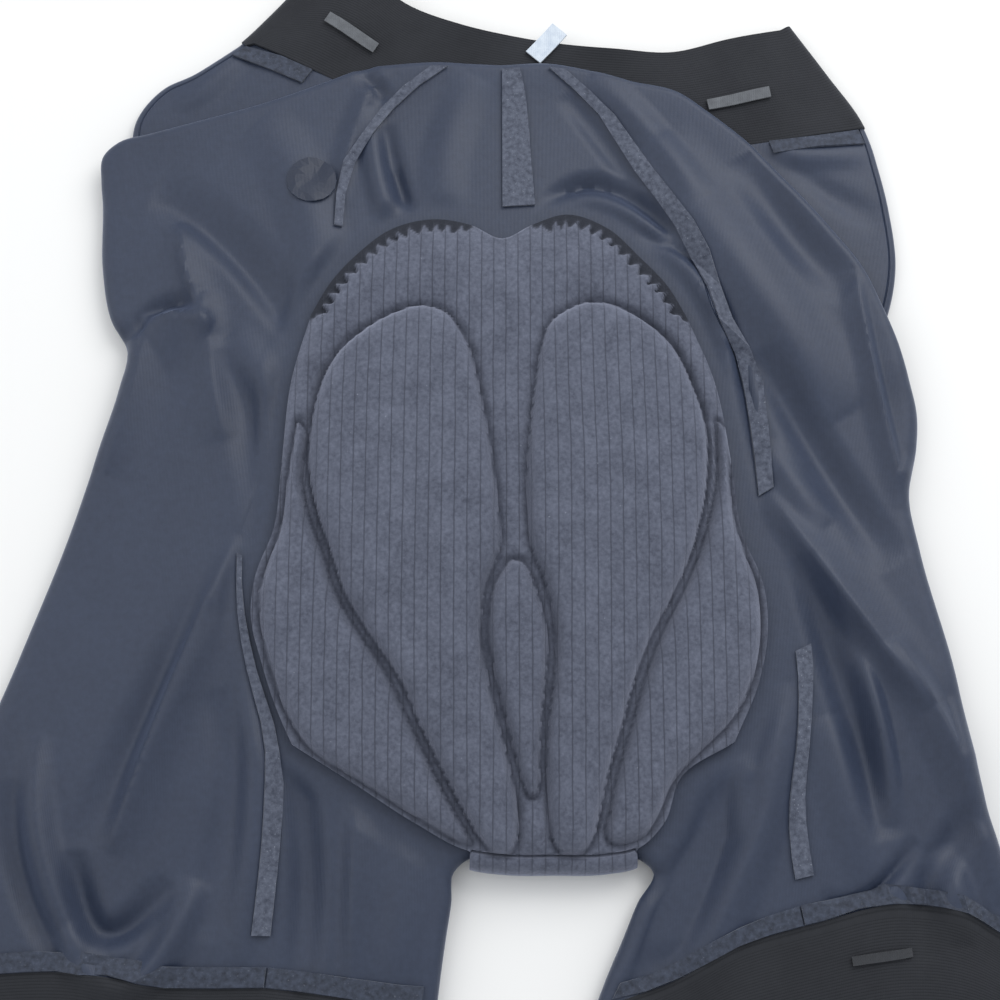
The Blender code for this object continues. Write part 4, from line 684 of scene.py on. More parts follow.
class Half:
    """The stations that the panels of one half share."""

    def __init__(self, out, inner, long_seam, leg_seam, corner, grip_outer, grip_inner):
        seam_at = nearest(turn_in(out), long_seam[0].x, long_seam[0].y)
        corner_at = nearest(out, *corner)
        self.flap_back = stations(out[:seam_at + 1], BACK_COLUMNS)
        self.flap_side = stations(out[seam_at:corner_at + 1], SIDE_COLUMNS)
        self.outer = along_grip(stations(out[corner_at:], HIP_ROWS + LEG_ROWS), grip_outer[1])
        self.inner = along_grip(stations(inner, LEG_ROWS), grip_inner[-2])
        self.centre = stations(smooth(CENTRE_SEAM), HIP_ROWS, CENTRE_CROWD)
        self.centre[0], self.centre[-1] = turn_in(self.flap_back)[0], turn_in(self.inner)[0]
        self.hip_seam = stations(smooth(long_seam), HIP_ROWS)
        self.hip_seam[0] = turn_in(self.flap_side)[0]
        self.leg_seam = stations(smooth(leg_seam), LEG_ROWS)
        self.yoke = stations(np.vstack([self.centre[-1:], self.hip_seam[-1:]]), BACK_COLUMNS)
        self.grip_outer = stations(smooth(grip_outer)[::-1], SIDE_COLUMNS)
        self.grip_outer[0], self.grip_outer[-1] = self.leg_seam[-1], turn_in(self.outer)[-1]
        self.grip_inner = stations(smooth(grip_inner), BACK_COLUMNS)
        self.grip_inner[0], self.grip_inner[-1] = self.leg_seam[-1], turn_in(self.inner)[-1]
        self.seam = np.vstack([self.hip_seam, self.leg_seam[1:]])
        self.grip_seam = np.vstack([self.grip_outer[::-1], self.grip_inner[1:]])


HALVES = {
    "left": Half(OUT_LEFT, IN_LEFT, LONG_SEAM_LEFT, LEG_SEAM_LEFT, (-161, 149), GRIP_SEAM_LEFT,
                 GRIP_SEAM_LEFT_INNER),
    "right": Half(OUT_RIGHT, IN_RIGHT, LONG_SEAM_RIGHT, LEG_SEAM_RIGHT, (78, 171.5), GRIP_SEAM_RIGHT,
                  GRIP_SEAM_RIGHT_INNER),
}
EDGE_BAND = {"left": edge_curve(EDGE_WAIST_LEFT, -1), "right": edge_curve(EDGE_WAIST_RIGHT, 1)}


def back_sheet(half):
    plan = patch(turn_in(half.flap_back), half.yoke, half.centre, half.hip_seam)
    return panel(plan, height, [(half.flap_back, 0, slice(None))])[0]


def side_sheet(half):
    outer = turn_in(half.outer)
    plan = patch(turn_in(half.flap_side), half.grip_outer, half.seam, outer)
    edge = np.vstack([half.flap_side, half.outer[1:]])
    rows = np.concatenate([np.zeros(SIDE_COLUMNS + 1, int), np.arange(1, len(outer))])
    cols = np.concatenate([np.arange(SIDE_COLUMNS + 1), np.full(len(outer) - 1, SIDE_COLUMNS)])
    return panel(plan, height, [(edge, rows, cols)])[0]


def inner_sheet(half):
    plan = patch(half.yoke[::-1], half.grip_inner, half.leg_seam, turn_in(half.inner))
    return panel(plan, height, [(half.inner, slice(None), -1)])[0]


def band_parts(side):
    """The outer edge beside the waistband and the edge beside the stretch below it."""
    curve = EDGE_BAND[side]
    seam_row = (EDGE_WAIST_LEFT if side == "left" else EDGE_WAIST_RIGHT)[2]
    split = nearest(curve, seam_row.x, seam_row.y)
    return curve[:split + 1], curve[split:]


def waist_stations(side):
    """Stations along the waistband's seam from the side edge to the centre back."""
    seam = smooth(WAIST_SEAM)
    middle = nearest(seam, WAIST_SPLIT, 153)
    run = seam[:middle + 1] if side == "left" else seam[middle:][::-1]
    line = stations(run, WAIST_COLUMNS)
    line[0] = turn_in(band_parts(side)[1])[0]
    return line


def upper_sheet(side):
    edge = stations(band_parts(side)[1], UPPER_ROWS)
    top = waist_stations(side)
    end = smooth(UPPER_END)
    middle = nearest(end, WAIST_SPLIT, 133)
    run = end[:middle + 1] if side == "left" else end[middle:][::-1]
    bottom = stations(run, WAIST_COLUMNS)
    bottom[0] = turn_in(edge)[-1]
    centre = stations(np.vstack([top[-1:], bottom[-1:]]), UPPER_ROWS)
    plan = patch(top, bottom, turn_in(edge), centre)
    return panel(plan, upper_height, [(edge, slice(None), 0)])[0]


def front_sheet(side, half):
    """The lower layer of one half, flat on the surface but for the pad's front half under it."""
    upper_edge = stations(band_parts(side)[1], 30)
    grounded = half.outer[half.outer[:, 3] < 1]
    outer = stations(np.vstack([turn_end(upper_edge), turn_end(grounded)]), FRONT_ROWS)
    inner_line = np.vstack([stations(smooth(CENTRE_SEAM[:4]), 60)[6:], turn_end(half.inner)])
    seam = smooth(WAIST_SEAM)
    middle = nearest(seam, WAIST_SPLIT, 153)
    run = seam[:middle + 1][::-1] if side == "left" else seam[middle:]
    top = stations(run[:nearest(run, *outer[0]) + 1], FRONT_COLUMNS)
    top[-1] = outer[0]
    inner = stations(np.vstack([top[:1], inner_line[inner_line[:, 1] < top[0, 1] - 3]]), FRONT_ROWS)
    grip = half.grip_seam
    low, high = nearest(grip, *outer[-1]), nearest(grip, *inner[-1])
    bottom = stations(np.vstack([outer[-1:], grip[low + 1:high], inner[-1:]]), FRONT_COLUMNS)[::-1]
    return panel(patch(top, bottom, inner, outer), lambda x, y: CLOTH / 2 + underlay(x, y), [])[0]


def ring_sheet(plan, level, edges, rows_length):
    """A flattened ring of elastic: an upper wall, two rolls and a flat lower wall.

    Its flat cloth runs along the band in u and from its free edge to its seam in v.
    """
    sheet = Sheet()
    rows, cols = plan.shape[:2]
    drop = np.broadcast_to(np.linspace(0, rows_length, rows)[:, None], (rows, cols))
    along = np.broadcast_to(lengths(plan[0])[None], (rows, cols))
    upper = sheet.add(lifted(level, plan[..., 0], plan[..., 1]), np.dstack([along, drop]))
    low = np.dstack([plan, np.full((rows, cols), ELASTIC / 2)])
    lower = sheet.add(low, np.dstack([-along, drop]))
    turns = []
    for edge, column, sign in zip(edges, (0, -1), (-1, 1)):
        points, flat = rolled(edge, sheet.points[upper[:, column], 2])
        points, flat = points[:, :ROLL_STEPS - 1], flat[:, :ROLL_STEPS - 1].copy()
        span = np.linalg.norm(flat - turn_in(edge)[:, None], axis=2)
        flat[..., 0] = along[:, column][:, None] + sign * span
        flat[..., 1] = drop[:, :1]
        turns.append(sheet.add(points, flat))
    loop = np.hstack([upper, turns[1], lower[:, ::-1], turns[0][:, ::-1], upper[:, :1]])
    sheet.join(loop)
    return sheet


def waistband_sheet():
    left, right = (stations(band_parts(side)[0], WAIST_ROWS) for side in ("left", "right"))
    seam = np.vstack([waist_stations("left"), waist_stations("right")[::-1][1:]])
    top = stations(smooth(WAIST_TOP), 2 * WAIST_COLUMNS)
    top[0], top[-1] = turn_in(left)[0], turn_in(right)[0]
    plan = patch(top, seam, turn_in(left), turn_in(right))
    return ring_sheet(plan, waist_height, (left, right), 48.0)


def gripper_sheet(side, half):
    outer_rows, inner_rows, hem_rows, outer_side, inner_side = {
        "left": (EDGE_GRIP_LEFT, INNER_GRIP_LEFT, HEM_LEFT, -1, 1),
        "right": (EDGE_GRIP_RIGHT, INNER_GRIP_RIGHT, HEM_RIGHT, 1, -1)}[side]
    outer = stations(edge_curve(outer_rows, outer_side), GRIP_ROWS)
    inner = stations(edge_curve(inner_rows, inner_side), GRIP_ROWS)
    outer[0, 5:7], inner[0, 5:7] = half.outer[-1, 5:7], half.inner[-1, 5:7]
    seam = half.grip_seam
    hem = stations(smooth(hem_rows), len(seam) - 1)
    hem[0], hem[-1] = turn_in(outer)[-1], turn_in(inner)[-1]
    plan = patch(seam, hem, turn_in(outer), turn_in(inner))
    return ring_sheet(plan, height, (outer, inner), 57.0)


# The pad's form
def pad_level(x, y):
    return height(x, y) + CLOTH / 2 + PAD_CLEARANCE + PAD_CLOTH / 2


def form_outline(rows):
    """A closed outline from a table of left and right sides, with rounded ends."""
    data = columns(rows)
    ring = np.vstack([data[:, [1, 0]], data[::-1, [2, 0]]])
    ring = np.vstack([ring, ring[:2]])
    return smooth(ring, 3)[1:-3]


FORMS = {"lobe_left": LOBE_LEFT, "lobe_right": LOBE_RIGHT, "keel": KEEL, "wing_left": WING_LEFT,
         "wing_right": WING_RIGHT}
# Each form's shoulder, the width over which it rounds up from its channel, and its share of the full rise
FORM_SHOULDER = {"lobe_left": 9.0, "lobe_right": 9.0, "keel": 6.5, "wing_left": 9.0, "wing_right": 9.0}
FORM_SHARE = {"lobe_left": 1.0, "lobe_right": 1.0, "keel": 0.75, "wing_left": 0.85, "wing_right": 0.85}
DOME_REACH = 28.0
DOME_SHARE = 0.12
BORDER_ROOM = 16.0
EDGE_ROUNDING = 8.0
SCALLOP_LENGTH = 5.6
SCALLOP_LEAST = 1.8
RIM_DEPTH = 6.5
RIM_START = 66.0
NOTCH_HALF = 10.0
PUCKER_SPACING = 8.5
LOWEST_FORM = -0.9

# How finely the pad is divided
PAD_ROWS = 238
PAD_COLUMNS = 190
TURN_COLUMNS = 70
RETURN_ROWS = 60


def wander(x, y, scale, seed=0):
    """Smooth unevenness from -1 to 1 with the given spacing."""
    def lattice(a, b):
        return np.mod(np.sin(a * 12.9898 + b * 78.233 + seed * 37.719) * 43758.5453, 1)
    u, v = np.asarray(x) / scale, np.asarray(y) / scale
    a, b = np.floor(u), np.floor(v)
    p, q = ease(u - a), ease(v - b)
    low = lattice(a, b) * (1 - p) + lattice(a + 1, b) * p
    high = lattice(a, b + 1) * (1 - p) + lattice(a + 1, b + 1) * p
    return 2 * (low * (1 - q) + high * q) - 1


def raw_edge(x, y):
    """How far a place is inside the pad's raw top arcs, and the arc length there."""
    arcs = smooth(PAD_TOP, 3)
    gap, share, _ = line_distance(x, y, arcs)
    return gap, share * lengths(arcs)[-1]


def pad_form(x, y, settings):
    """The foam's rise above the pad's thin cloth, and masks of its channels and dark rim. The channel mask
    also gives the chamois its painted shade in the channels.
    """
    rim = np.clip(inside(x, y, PAD_OUTLINE), 0, None)
    rise, groove = np.zeros(x.shape), np.zeros(x.shape)
    beside = np.full(x.shape, 1e3)
    width = settings.channel_width / MM
    for name, rows in FORMS.items():
        depth = inside(x, y, form_outline(rows))
        share = np.clip(depth / FORM_SHOULDER[name], 0, 1)
        dome = 1 - DOME_SHARE + DOME_SHARE * np.clip(depth / DOME_REACH, 0, 1)
        full = FORM_SHARE[name] * settings.lobe_rise / MM
        rise = np.maximum(rise, full * np.sqrt(1 - (1 - share)**2) * dome)
        beside = np.minimum(beside, np.where(depth > 0, 0, -depth))
        groove = np.maximum(groove, np.exp(-(depth / width)**2))
    room = rim + beside
    roll = settings.border_rise / MM * 4 * rim * beside / np.maximum(room, 1)**2 * ease(room / BORDER_ROOM)
    edge = np.clip(rim / EDGE_ROUNDING, 0, 1)
    rise = (rise + roll) * np.sqrt(1 - (1 - edge)**2)
    gap, along = raw_edge(x, y)
    scallop = np.abs(np.mod(along / SCALLOP_LENGTH + 0.18 * wander(along, 0 * along, 9, 3), 1) - 0.5) * 2
    arcs = ease((y - RIM_START) / 10) * ease((np.abs(x - 1) - NOTCH_HALF) / 8)
    reach = (SCALLOP_LEAST + (RIM_DEPTH - SCALLOP_LEAST) * (1 - scallop)**0.8) * arcs
    dark = ease((reach - gap) / 1.2 + 0.5) * (arcs > 0)
    rise = rise * (1 - 0.92 * dark) + 0.5 * (1 - dark) * ease(rim / 3)
    low = ease(1 - rise / 2.5)
    pucker = 0.45 * wander(x * 0.6, y, 8, 5) * low + 0.22 * wander(x, y, 11, 8)
    ripple = np.sin(y * 2 * math.pi / PUCKER_SPACING + 1.7 * wander(x, y, 12, 2))
    pucker += 0.35 * np.exp(-(beside / 5)**2) * ripple * low
    rise = rise + pucker * (1 - dark) * ease(rim / 4)
    rise = rise - settings.channel_depth / MM * groove * ease(rim / 3)
    return np.maximum(rise, LOWEST_FORM), groove, dark


def pad_sheet(settings):
    """The pad's middle sheet with its turn under the crotch, the forms' rise and the masks."""
    top = stations(smooth(PAD_TOP), PAD_COLUMNS)
    fold = smooth(PAD_FOLD)
    first, last = (int(np.argmin(np.abs(fold[:, 0] - x))) for x in CROTCH_TURN)
    beside = (PAD_COLUMNS - TURN_COLUMNS) // 2
    bottom = np.vstack([stations(fold[:first + 1], beside)[:-1], stations(fold[first:last + 1], TURN_COLUMNS),
                        stations(fold[last:], beside)[1:]])
    left, right = stations(smooth(PAD_LEFT), PAD_ROWS), stations(smooth(PAD_RIGHT), PAD_ROWS)
    sheet = Sheet()
    plan = patch(top, bottom, left, right)
    grid = sheet.add(lifted(pad_level, plan[..., 0], plan[..., 1]))
    sheet.join(grid)
    border = grid[-1, beside:beside + TURN_COLUMNS + 1]
    place = sheet.points[border]
    edge = np.zeros((len(border), 7))
    edge[:, :2] = place[:, :2] + np.array([0, -PAD_TONGUE_ROLL])
    edge[:, 2], edge[:, 3], edge[:, 6] = PAD_TONGUE_ROLL, PAD_CLOTH / 2, -1
    points, flat = rolled(edge, place[:, 2])
    share = (place[:, 0] - place[0, 0]) / (place[-1, 0] - place[0, 0])
    under = stations(columns(PAD_RETURN)[1:, [1, 0, 2]], RETURN_ROWS)
    runs = np.stack([np.column_stack([row[0] + share * (row[2] - row[0]), np.full(len(share), row[1]),
                                      np.full(len(share), PAD_CLOTH / 2)]) for row in under], axis=1)
    sheet.join(np.column_stack([border, sheet.add(points, flat), sheet.add(runs)]))
    rise, channel, dark = (np.zeros(len(sheet.points)) for _ in range(3))
    count = grid.size
    spot = sheet.points[:count]
    rise[:count], channel[:count], dark[:count] = pad_form(spot[:, 0], spot[:, 1], settings)
    return sheet, rise, channel, dark


# Shader groups and materials
def node_in(tree, kind, **values):
    """A shader node with values set on its sockets or properties."""
    node = tree.nodes.new(kind)
    for key, value in values.items():
        name = key.replace("_", " ")
        if hasattr(node, key):
            setattr(node, key, value)
        else:
            node.inputs[name].default_value = value
    return node


def group_of(name, inputs, outputs):
    tree = bpy.data.node_groups.new(name, "ShaderNodeTree")
    for label, kind, value in inputs:
        socket = tree.interface.new_socket(label, in_out="INPUT", socket_type=kind)
        if value is not None:
            socket.default_value = value
    for label, kind in outputs:
        tree.interface.new_socket(label, in_out="OUTPUT", socket_type=kind)
    return tree, tree.nodes.new("NodeGroupInput"), tree.nodes.new("NodeGroupOutput")


def maths(tree, kind, first, second=None, third=None, clamp=False):
    node = tree.nodes.new("ShaderNodeMath")
    node.operation, node.use_clamp = kind, clamp
    for socket, value in zip(node.inputs, (first, second, third)):
        if value is None:
            continue
        if isinstance(value, (int, float)):
            socket.default_value = value
        else:
            tree.links.new(value, socket)
    return node.outputs[0]


def blend_of(tree, share, first, second):
    """Mixes two colours; each argument is a socket or a value."""
    node = tree.nodes.new("ShaderNodeMix")
    node.data_type = "RGBA"
    for socket, value in ((node.inputs[0], share), (node.inputs[6], first), (node.inputs[7], second)):
        if isinstance(value, bpy.types.NodeSocket):
            tree.links.new(value, socket)
        else:
            socket.default_value = value if isinstance(value, float) else (*value[:3], 1.0)
    return node.outputs[2]


def mottling_group():
    """Soft unevenness of dye and light: two sizes of noise."""
    inputs = [("Vector", "NodeSocketVector", None), ("Size", "NodeSocketFloat", 60.0)]
    tree, start, end = group_of("Mottling", inputs, [("Value", "NodeSocketFloat")])
    large = node_in(tree, "ShaderNodeTexNoise", Detail=3.0, Roughness=0.55)
    small = node_in(tree, "ShaderNodeTexNoise", Detail=4.0, Roughness=0.7)
    for noise, factor in ((large, 1.0), (small, 9.0)):
        tree.links.new(start.outputs["Vector"], noise.inputs["Vector"])
        tree.links.new(maths(tree, "MULTIPLY", start.outputs["Size"], factor), noise.inputs["Scale"])
    broad = maths(tree, "MULTIPLY", large.outputs["Fac"], 0.65)
    total = maths(tree, "MULTIPLY_ADD", small.outputs["Fac"], 0.35, broad)
    tree.links.new(total, end.inputs["Value"])
    return tree


def rib_group():
    """Lines at an even spacing along one coordinate, with the height of the cloth between them."""
    inputs = [("Coordinate", "NodeSocketFloat", 0.0), ("Spacing", "NodeSocketFloat", 0.005),
              ("Line", "NodeSocketFloat", 0.12)]
    outputs = [("Line", "NodeSocketFloat"), ("Height", "NodeSocketFloat")]
    tree, start, end = group_of("Ribs", inputs, outputs)
    turn = maths(tree, "DIVIDE", start.outputs["Coordinate"], start.outputs["Spacing"])
    part = maths(tree, "FRACT", turn)
    off = maths(tree, "ABSOLUTE", maths(tree, "SUBTRACT", part, 0.5))
    line = maths(tree, "SUBTRACT", 1.0, maths(tree, "DIVIDE", off, start.outputs["Line"]), clamp=True)
    tree.links.new(line, end.inputs["Line"])
    round_off = maths(tree, "POWER", maths(tree, "MULTIPLY", off, 2.0), 0.35)
    tree.links.new(round_off, end.inputs["Height"])
    return tree


def knit_group():
    """Fine knit: loops in columns and courses, as a height."""
    inputs = [("Vector", "NodeSocketVector", None), ("Pitch", "NodeSocketFloat", 0.0006)]
    tree, start, end = group_of("Fine knit", inputs, [("Height", "NodeSocketFloat")])
    waves = []
    scaled = node_in(tree, "ShaderNodeVectorMath", operation="DIVIDE")
    tree.links.new(start.outputs["Vector"], scaled.inputs[0])
    triple = tree.nodes.new("ShaderNodeCombineXYZ")
    for socket in triple.inputs:
        tree.links.new(start.outputs["Pitch"], socket)
    tree.links.new(triple.outputs[0], scaled.inputs[1])
    parts = tree.nodes.new("ShaderNodeSeparateXYZ")
    tree.links.new(scaled.outputs[0], parts.inputs[0])
    for axis, factor in (("X", 2 * math.pi), ("Y", 2 * math.pi * 0.72)):
        waves.append(maths(tree, "SINE", maths(tree, "MULTIPLY", parts.outputs[axis], factor)))
    loops = maths(tree, "MULTIPLY", waves[0], maths(tree, "MULTIPLY_ADD", waves[1], 0.5, 0.8))
    tree.links.new(maths(tree, "MULTIPLY_ADD", loops, 0.5, 0.5), end.inputs["Height"])
    return tree


def lint_group():
    """A mask of small pale flecks."""
    inputs = [("Vector", "NodeSocketVector", None), ("Scale", "NodeSocketFloat", 500.0),
              ("Threshold", "NodeSocketFloat", 0.72)]
    tree, start, end = group_of("Lint", inputs, [("Mask", "NodeSocketFloat")])
    noise = node_in(tree, "ShaderNodeTexNoise", Detail=2.0, Roughness=0.6)
    tree.links.new(start.outputs["Vector"], noise.inputs["Vector"])
    tree.links.new(start.outputs["Scale"], noise.inputs["Scale"])
    over = maths(tree, "SUBTRACT", noise.outputs["Fac"], start.outputs["Threshold"])
    tree.links.new(maths(tree, "MULTIPLY", over, 12.0, clamp=True), end.inputs["Mask"])
    return tree


GROUP_MAKERS = {"Mottling": mottling_group, "Ribs": rib_group, "Fine knit": knit_group, "Lint": lint_group}


def use_group(tree, name, **values):
    node = tree.nodes.new("ShaderNodeGroup")
    node.node_tree = bpy.data.node_groups.get(name) or GROUP_MAKERS[name]()
    for key, value in values.items():
        socket = node.inputs[key]
        if isinstance(value, bpy.types.NodeSocket):
            tree.links.new(value, socket)
        else:
            socket.default_value = value
    return node


class Finish:
    """A material with its Principled shader, coordinates and bump ready to be linked."""

    def __init__(self, name, roughness, sheen=0.0, sheen_roughness=0.5, sheen_tint=(1, 1, 1), specular=0.5):
        self.material = bpy.data.materials.new(name)
        self.material.use_nodes = True
        self.tree = self.material.node_tree
        self.shader = self.tree.nodes["Principled BSDF"]
        for label, value in (("Roughness", roughness), ("Metallic", 0.0), ("Sheen Weight", sheen),
                             ("Sheen Roughness", sheen_roughness), ("Sheen Tint", (*sheen_tint, 1.0)),
                             ("Specular IOR Level", specular)):
            self.shader.inputs[label].default_value = value
        self.coordinates = self.tree.nodes.new("ShaderNodeTexCoord")

    def colour(self, socket):
        self.tree.links.new(socket, self.shader.inputs["Base Color"])

    def roughness(self, socket):
        self.tree.links.new(socket, self.shader.inputs["Roughness"])

    def bump(self, height, distance, strength=1.0, under=None):
        node = node_in(self.tree, "ShaderNodeBump", Strength=strength, Distance=distance)
        self.tree.links.new(height, node.inputs["Height"])
        if under is not None:
            self.tree.links.new(under, node.inputs["Normal"])
        self.tree.links.new(node.outputs["Normal"], self.shader.inputs["Normal"])
        return node.outputs["Normal"]


def knit_finish(name, dark, light, roughness=0.46, sheen=0.35):
    finish = Finish(name, roughness, sheen, 0.35, (0.62, 0.72, 1.0), 0.42)
    tree, place = finish.tree, finish.coordinates.outputs["Object"]
    cloud = use_group(tree, "Mottling", Vector=place, Size=26.0).outputs["Value"]
    fine = use_group(tree, "Mottling", Vector=place, Size=420.0).outputs["Value"]
    share = maths(tree, "MULTIPLY_ADD", fine, 0.5, maths(tree, "MULTIPLY", cloud, 0.5))
    share = maths(tree, "MULTIPLY_ADD", maths(tree, "SUBTRACT", share, 0.5), 2.2, 0.5, clamp=True)
    finish.colour(blend_of(tree, share, dark, light))
    finish.roughness(maths(tree, "MULTIPLY_ADD", cloud, 0.16, roughness - 0.08))
    knit = use_group(tree, "Fine knit", Vector=place, Pitch=0.00055)
    normal = finish.bump(knit.outputs["Height"], 0.00009, 0.5)
    finish.bump(cloud, 0.0006, 0.35, normal)
    return finish.material


def elastic_finish(name, dark, light):
    finish = Finish(name, 0.82, 0.12, 0.5, (0.8, 0.85, 1.0), 0.3)
    tree = finish.tree
    parts = tree.nodes.new("ShaderNodeSeparateXYZ")
    tree.links.new(finish.coordinates.outputs["UV"], parts.inputs[0])
    ribs = use_group(tree, "Ribs", Coordinate=parts.outputs["Y"], Spacing=0.0011, Line=0.2)
    yarn = use_group(tree, "Ribs", Coordinate=parts.outputs["X"], Spacing=0.0008, Line=0.24)
    place = finish.coordinates.outputs["Object"]
    cloud = use_group(tree, "Mottling", Vector=place, Size=40.0).outputs["Value"]
    share = maths(tree, "MULTIPLY_ADD", ribs.outputs["Line"], -0.45, cloud, clamp=True)
    finish.colour(blend_of(tree, share, dark, light))
    weave = maths(tree, "MULTIPLY_ADD", yarn.outputs["Height"], 0.45, ribs.outputs["Height"])
    finish.bump(weave, 0.00018, 0.7)
    return finish.material


def attribute_of(tree, name):
    node = tree.nodes.new("ShaderNodeAttribute")
    node.attribute_name = name
    return node.outputs["Fac"]


def chamois_finish(name, pad):
    finish = Finish(name, 0.86, 0.55, 0.55, (0.75, 0.8, 1.0), 0.25)
    tree, place = finish.tree, finish.coordinates.outputs["Object"]
    parts = tree.nodes.new("ShaderNodeSeparateXYZ")
    tree.links.new(finish.coordinates.outputs["UV"], parts.inputs[0])
    sway = maths(tree, "SUBTRACT", use_group(tree, "Mottling", Vector=place, Size=14.0).outputs["Value"], 0.5)
    across = maths(tree, "MULTIPLY_ADD", sway, 0.0022, parts.outputs["X"])
    ribs = use_group(tree, "Ribs", Coordinate=across, Spacing=pad.rib_spacing, Line=0.085)
    cloud = use_group(tree, "Mottling", Vector=place, Size=95.0).outputs["Value"]
    grain = use_group(tree, "Mottling", Vector=place, Size=620.0).outputs["Value"]
    heather = maths(tree, "MULTIPLY_ADD", grain, 0.62, maths(tree, "MULTIPLY", cloud, 0.38))
    heather = maths(tree, "MULTIPLY_ADD", maths(tree, "SUBTRACT", heather, 0.5), 3.4, 0.5, clamp=True)
    colour = blend_of(tree, heather, pad.dark, pad.light)
    broken = maths(tree, "MULTIPLY_ADD", grain, 0.9, 0.25)
    line = maths(tree, "MULTIPLY", ribs.outputs["Line"], broken, clamp=True)
    colour = blend_of(tree, line, colour, pad.line)
    lint = use_group(tree, "Lint", Vector=place, Scale=900.0, Threshold=0.735)
    colour = blend_of(tree, maths(tree, "MULTIPLY", lint.outputs["Mask"], 0.5), colour, (0.42, 0.45, 0.52))
    # Painted shade in the sewn channels: the chamois darkens towards the line colour along the channel mask
    sewn = maths(tree, "MULTIPLY", attribute_of(tree, "channel"), 0.6, clamp=True)
    colour = blend_of(tree, sewn, colour, pad.line)
    colour = blend_of(tree, attribute_of(tree, "dark rim"), colour, (0.008, 0.010, 0.016))
    finish.colour(colour)
    relief = maths(tree, "MULTIPLY_ADD", grain, 0.5, ribs.outputs["Height"])
    normal = finish.bump(relief, 0.00038, 0.75)
    finish.bump(cloud, 0.0009, 0.5, normal)
    return finish.material


FLECK_COLOUR = (0.5, 0.54, 0.62)


def thread_finish(name, dark, light, fleck=0.3):
    finish = Finish(name, 0.72, 0.3, 0.5, (0.9, 0.93, 1.0), 0.35)
    tree, place = finish.tree, finish.coordinates.outputs["Object"]
    grain = use_group(tree, "Mottling", Vector=place, Size=520.0).outputs["Value"]
    share = maths(tree, "MULTIPLY_ADD", maths(tree, "SUBTRACT", grain, 0.5), 3.0, 0.5, clamp=True)
    colour = blend_of(tree, share, dark, light)
    lint = use_group(tree, "Lint", Vector=place, Scale=1500.0, Threshold=0.66)
    flecks = maths(tree, "MULTIPLY", lint.outputs["Mask"], fleck)
    finish.colour(blend_of(tree, flecks, colour, FLECK_COLOUR))
    finish.bump(grain, 0.0003, 0.6)
    return finish.material


def cloth_finish(name, dark, light, pitch=0.0009, roughness=0.7):
    """Plain woven tape: labels, bars and patches."""
    finish = Finish(name, roughness, 0.2, 0.5, (1, 1, 1), 0.4)
    tree, place = finish.tree, finish.coordinates.outputs["Object"]
    grain = use_group(tree, "Mottling", Vector=place, Size=300.0).outputs["Value"]
    share = maths(tree, "MULTIPLY_ADD", maths(tree, "SUBTRACT", grain, 0.5), 2.4, 0.5, clamp=True)
    finish.colour(blend_of(tree, share, dark, light))
    knit = use_group(tree, "Fine knit", Vector=place, Pitch=pitch)
    finish.bump(knit.outputs["Height"], 0.00015, 0.6)
    return finish.material


def floor_finish(name, colour):
    finish = Finish(name, 0.75, specular=0.3)
    tree, place = finish.tree, finish.coordinates.outputs["Object"]
    cloud = use_group(tree, "Mottling", Vector=place, Size=6.0).outputs["Value"]
    paler = tuple(min(channel * 1.02, 1.0) for channel in colour[:3])
    finish.colour(blend_of(tree, cloud, colour, paler))
    finish.bump(cloud, 0.0005, 0.1)
    return finish.material


def made_once(name, maker, *values):
    return bpy.data.materials.get(name) or maker(name, *values)


# Dark and light colours of the small pieces, and the share of pale flecks on the sewing
SEAM_COLOURS = (0.014, 0.018, 0.03), (0.05, 0.062, 0.095)
TAPE_COLOURS = (0.075, 0.08, 0.09), (0.14, 0.15, 0.165)
TAPE_CORE_COLOURS = (0.018, 0.02, 0.024), (0.035, 0.038, 0.045)
LABEL_COLOURS = (0.45, 0.52, 0.62), (0.72, 0.78, 0.84)
SEAM_FLECKS = 0.15
THREAD_FLECKS = 0.35
# SHADED darkens the navy knit: the tucked fold's knit is this darker copy as painted shade, and the patch
# knit takes the same darker navy
SHADED = 0.8


def finishes():
    """Every material of the shorts, made once."""
    cloth, pad, thread = settings("cloth"), settings("pad"), settings("thread")
    darker = tuple(channel * SHADED for channel in cloth.navy_dark)
    return {
        "knit": made_once("Navy knit", knit_finish, cloth.navy_dark, cloth.navy_light),
        # The tucked fold's knit: the navy darkened by SHADED, painted shade
        "knit_painted_shade": made_once("Navy knit below", knit_finish, darker, cloth.navy_dark),
        "elastic": made_once("Black elastic", elastic_finish, cloth.elastic_dark, cloth.elastic_light),
        "chamois": made_once("Ribbed chamois", chamois_finish, pad),
        "seam": made_once("Seam allowance", thread_finish, *SEAM_COLOURS, SEAM_FLECKS),
        "thread": made_once("Navy thread", thread_finish, thread.dark, thread.light, THREAD_FLECKS),
        "tape": made_once("Grey tape", cloth_finish, *TAPE_COLOURS),
        "tape_core": made_once("Dark tape", cloth_finish, *TAPE_CORE_COLOURS),
        "label": made_once("Pale satin label", cloth_finish, *LABEL_COLOURS),
        "patch": made_once("Patch knit", knit_finish, darker, cloth.navy_dark),
    }


def settle(piece, slot_name, *nodes):
    """Rides on the garment's one body and stands for its CAD nodes. Its slot_name is not used."""
    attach(piece, "root")
    if nodes:
        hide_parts(*nodes)
    return piece


# The box round a cut is this much larger than the cut, and the cut fills at least this share of it
CUT_ALLOWANCE = 1.01
LEAST_FILL = 0.301


def flat_area(sheet):
    """Area of a middle sheet in square metres."""
    corner = sheet.points[sheet.quads] * MM
    face = np.cross(corner[:, 2] - corner[:, 0], corner[:, 3] - corner[:, 1])
    return float(np.linalg.norm(face, axis=1).sum() / 2)


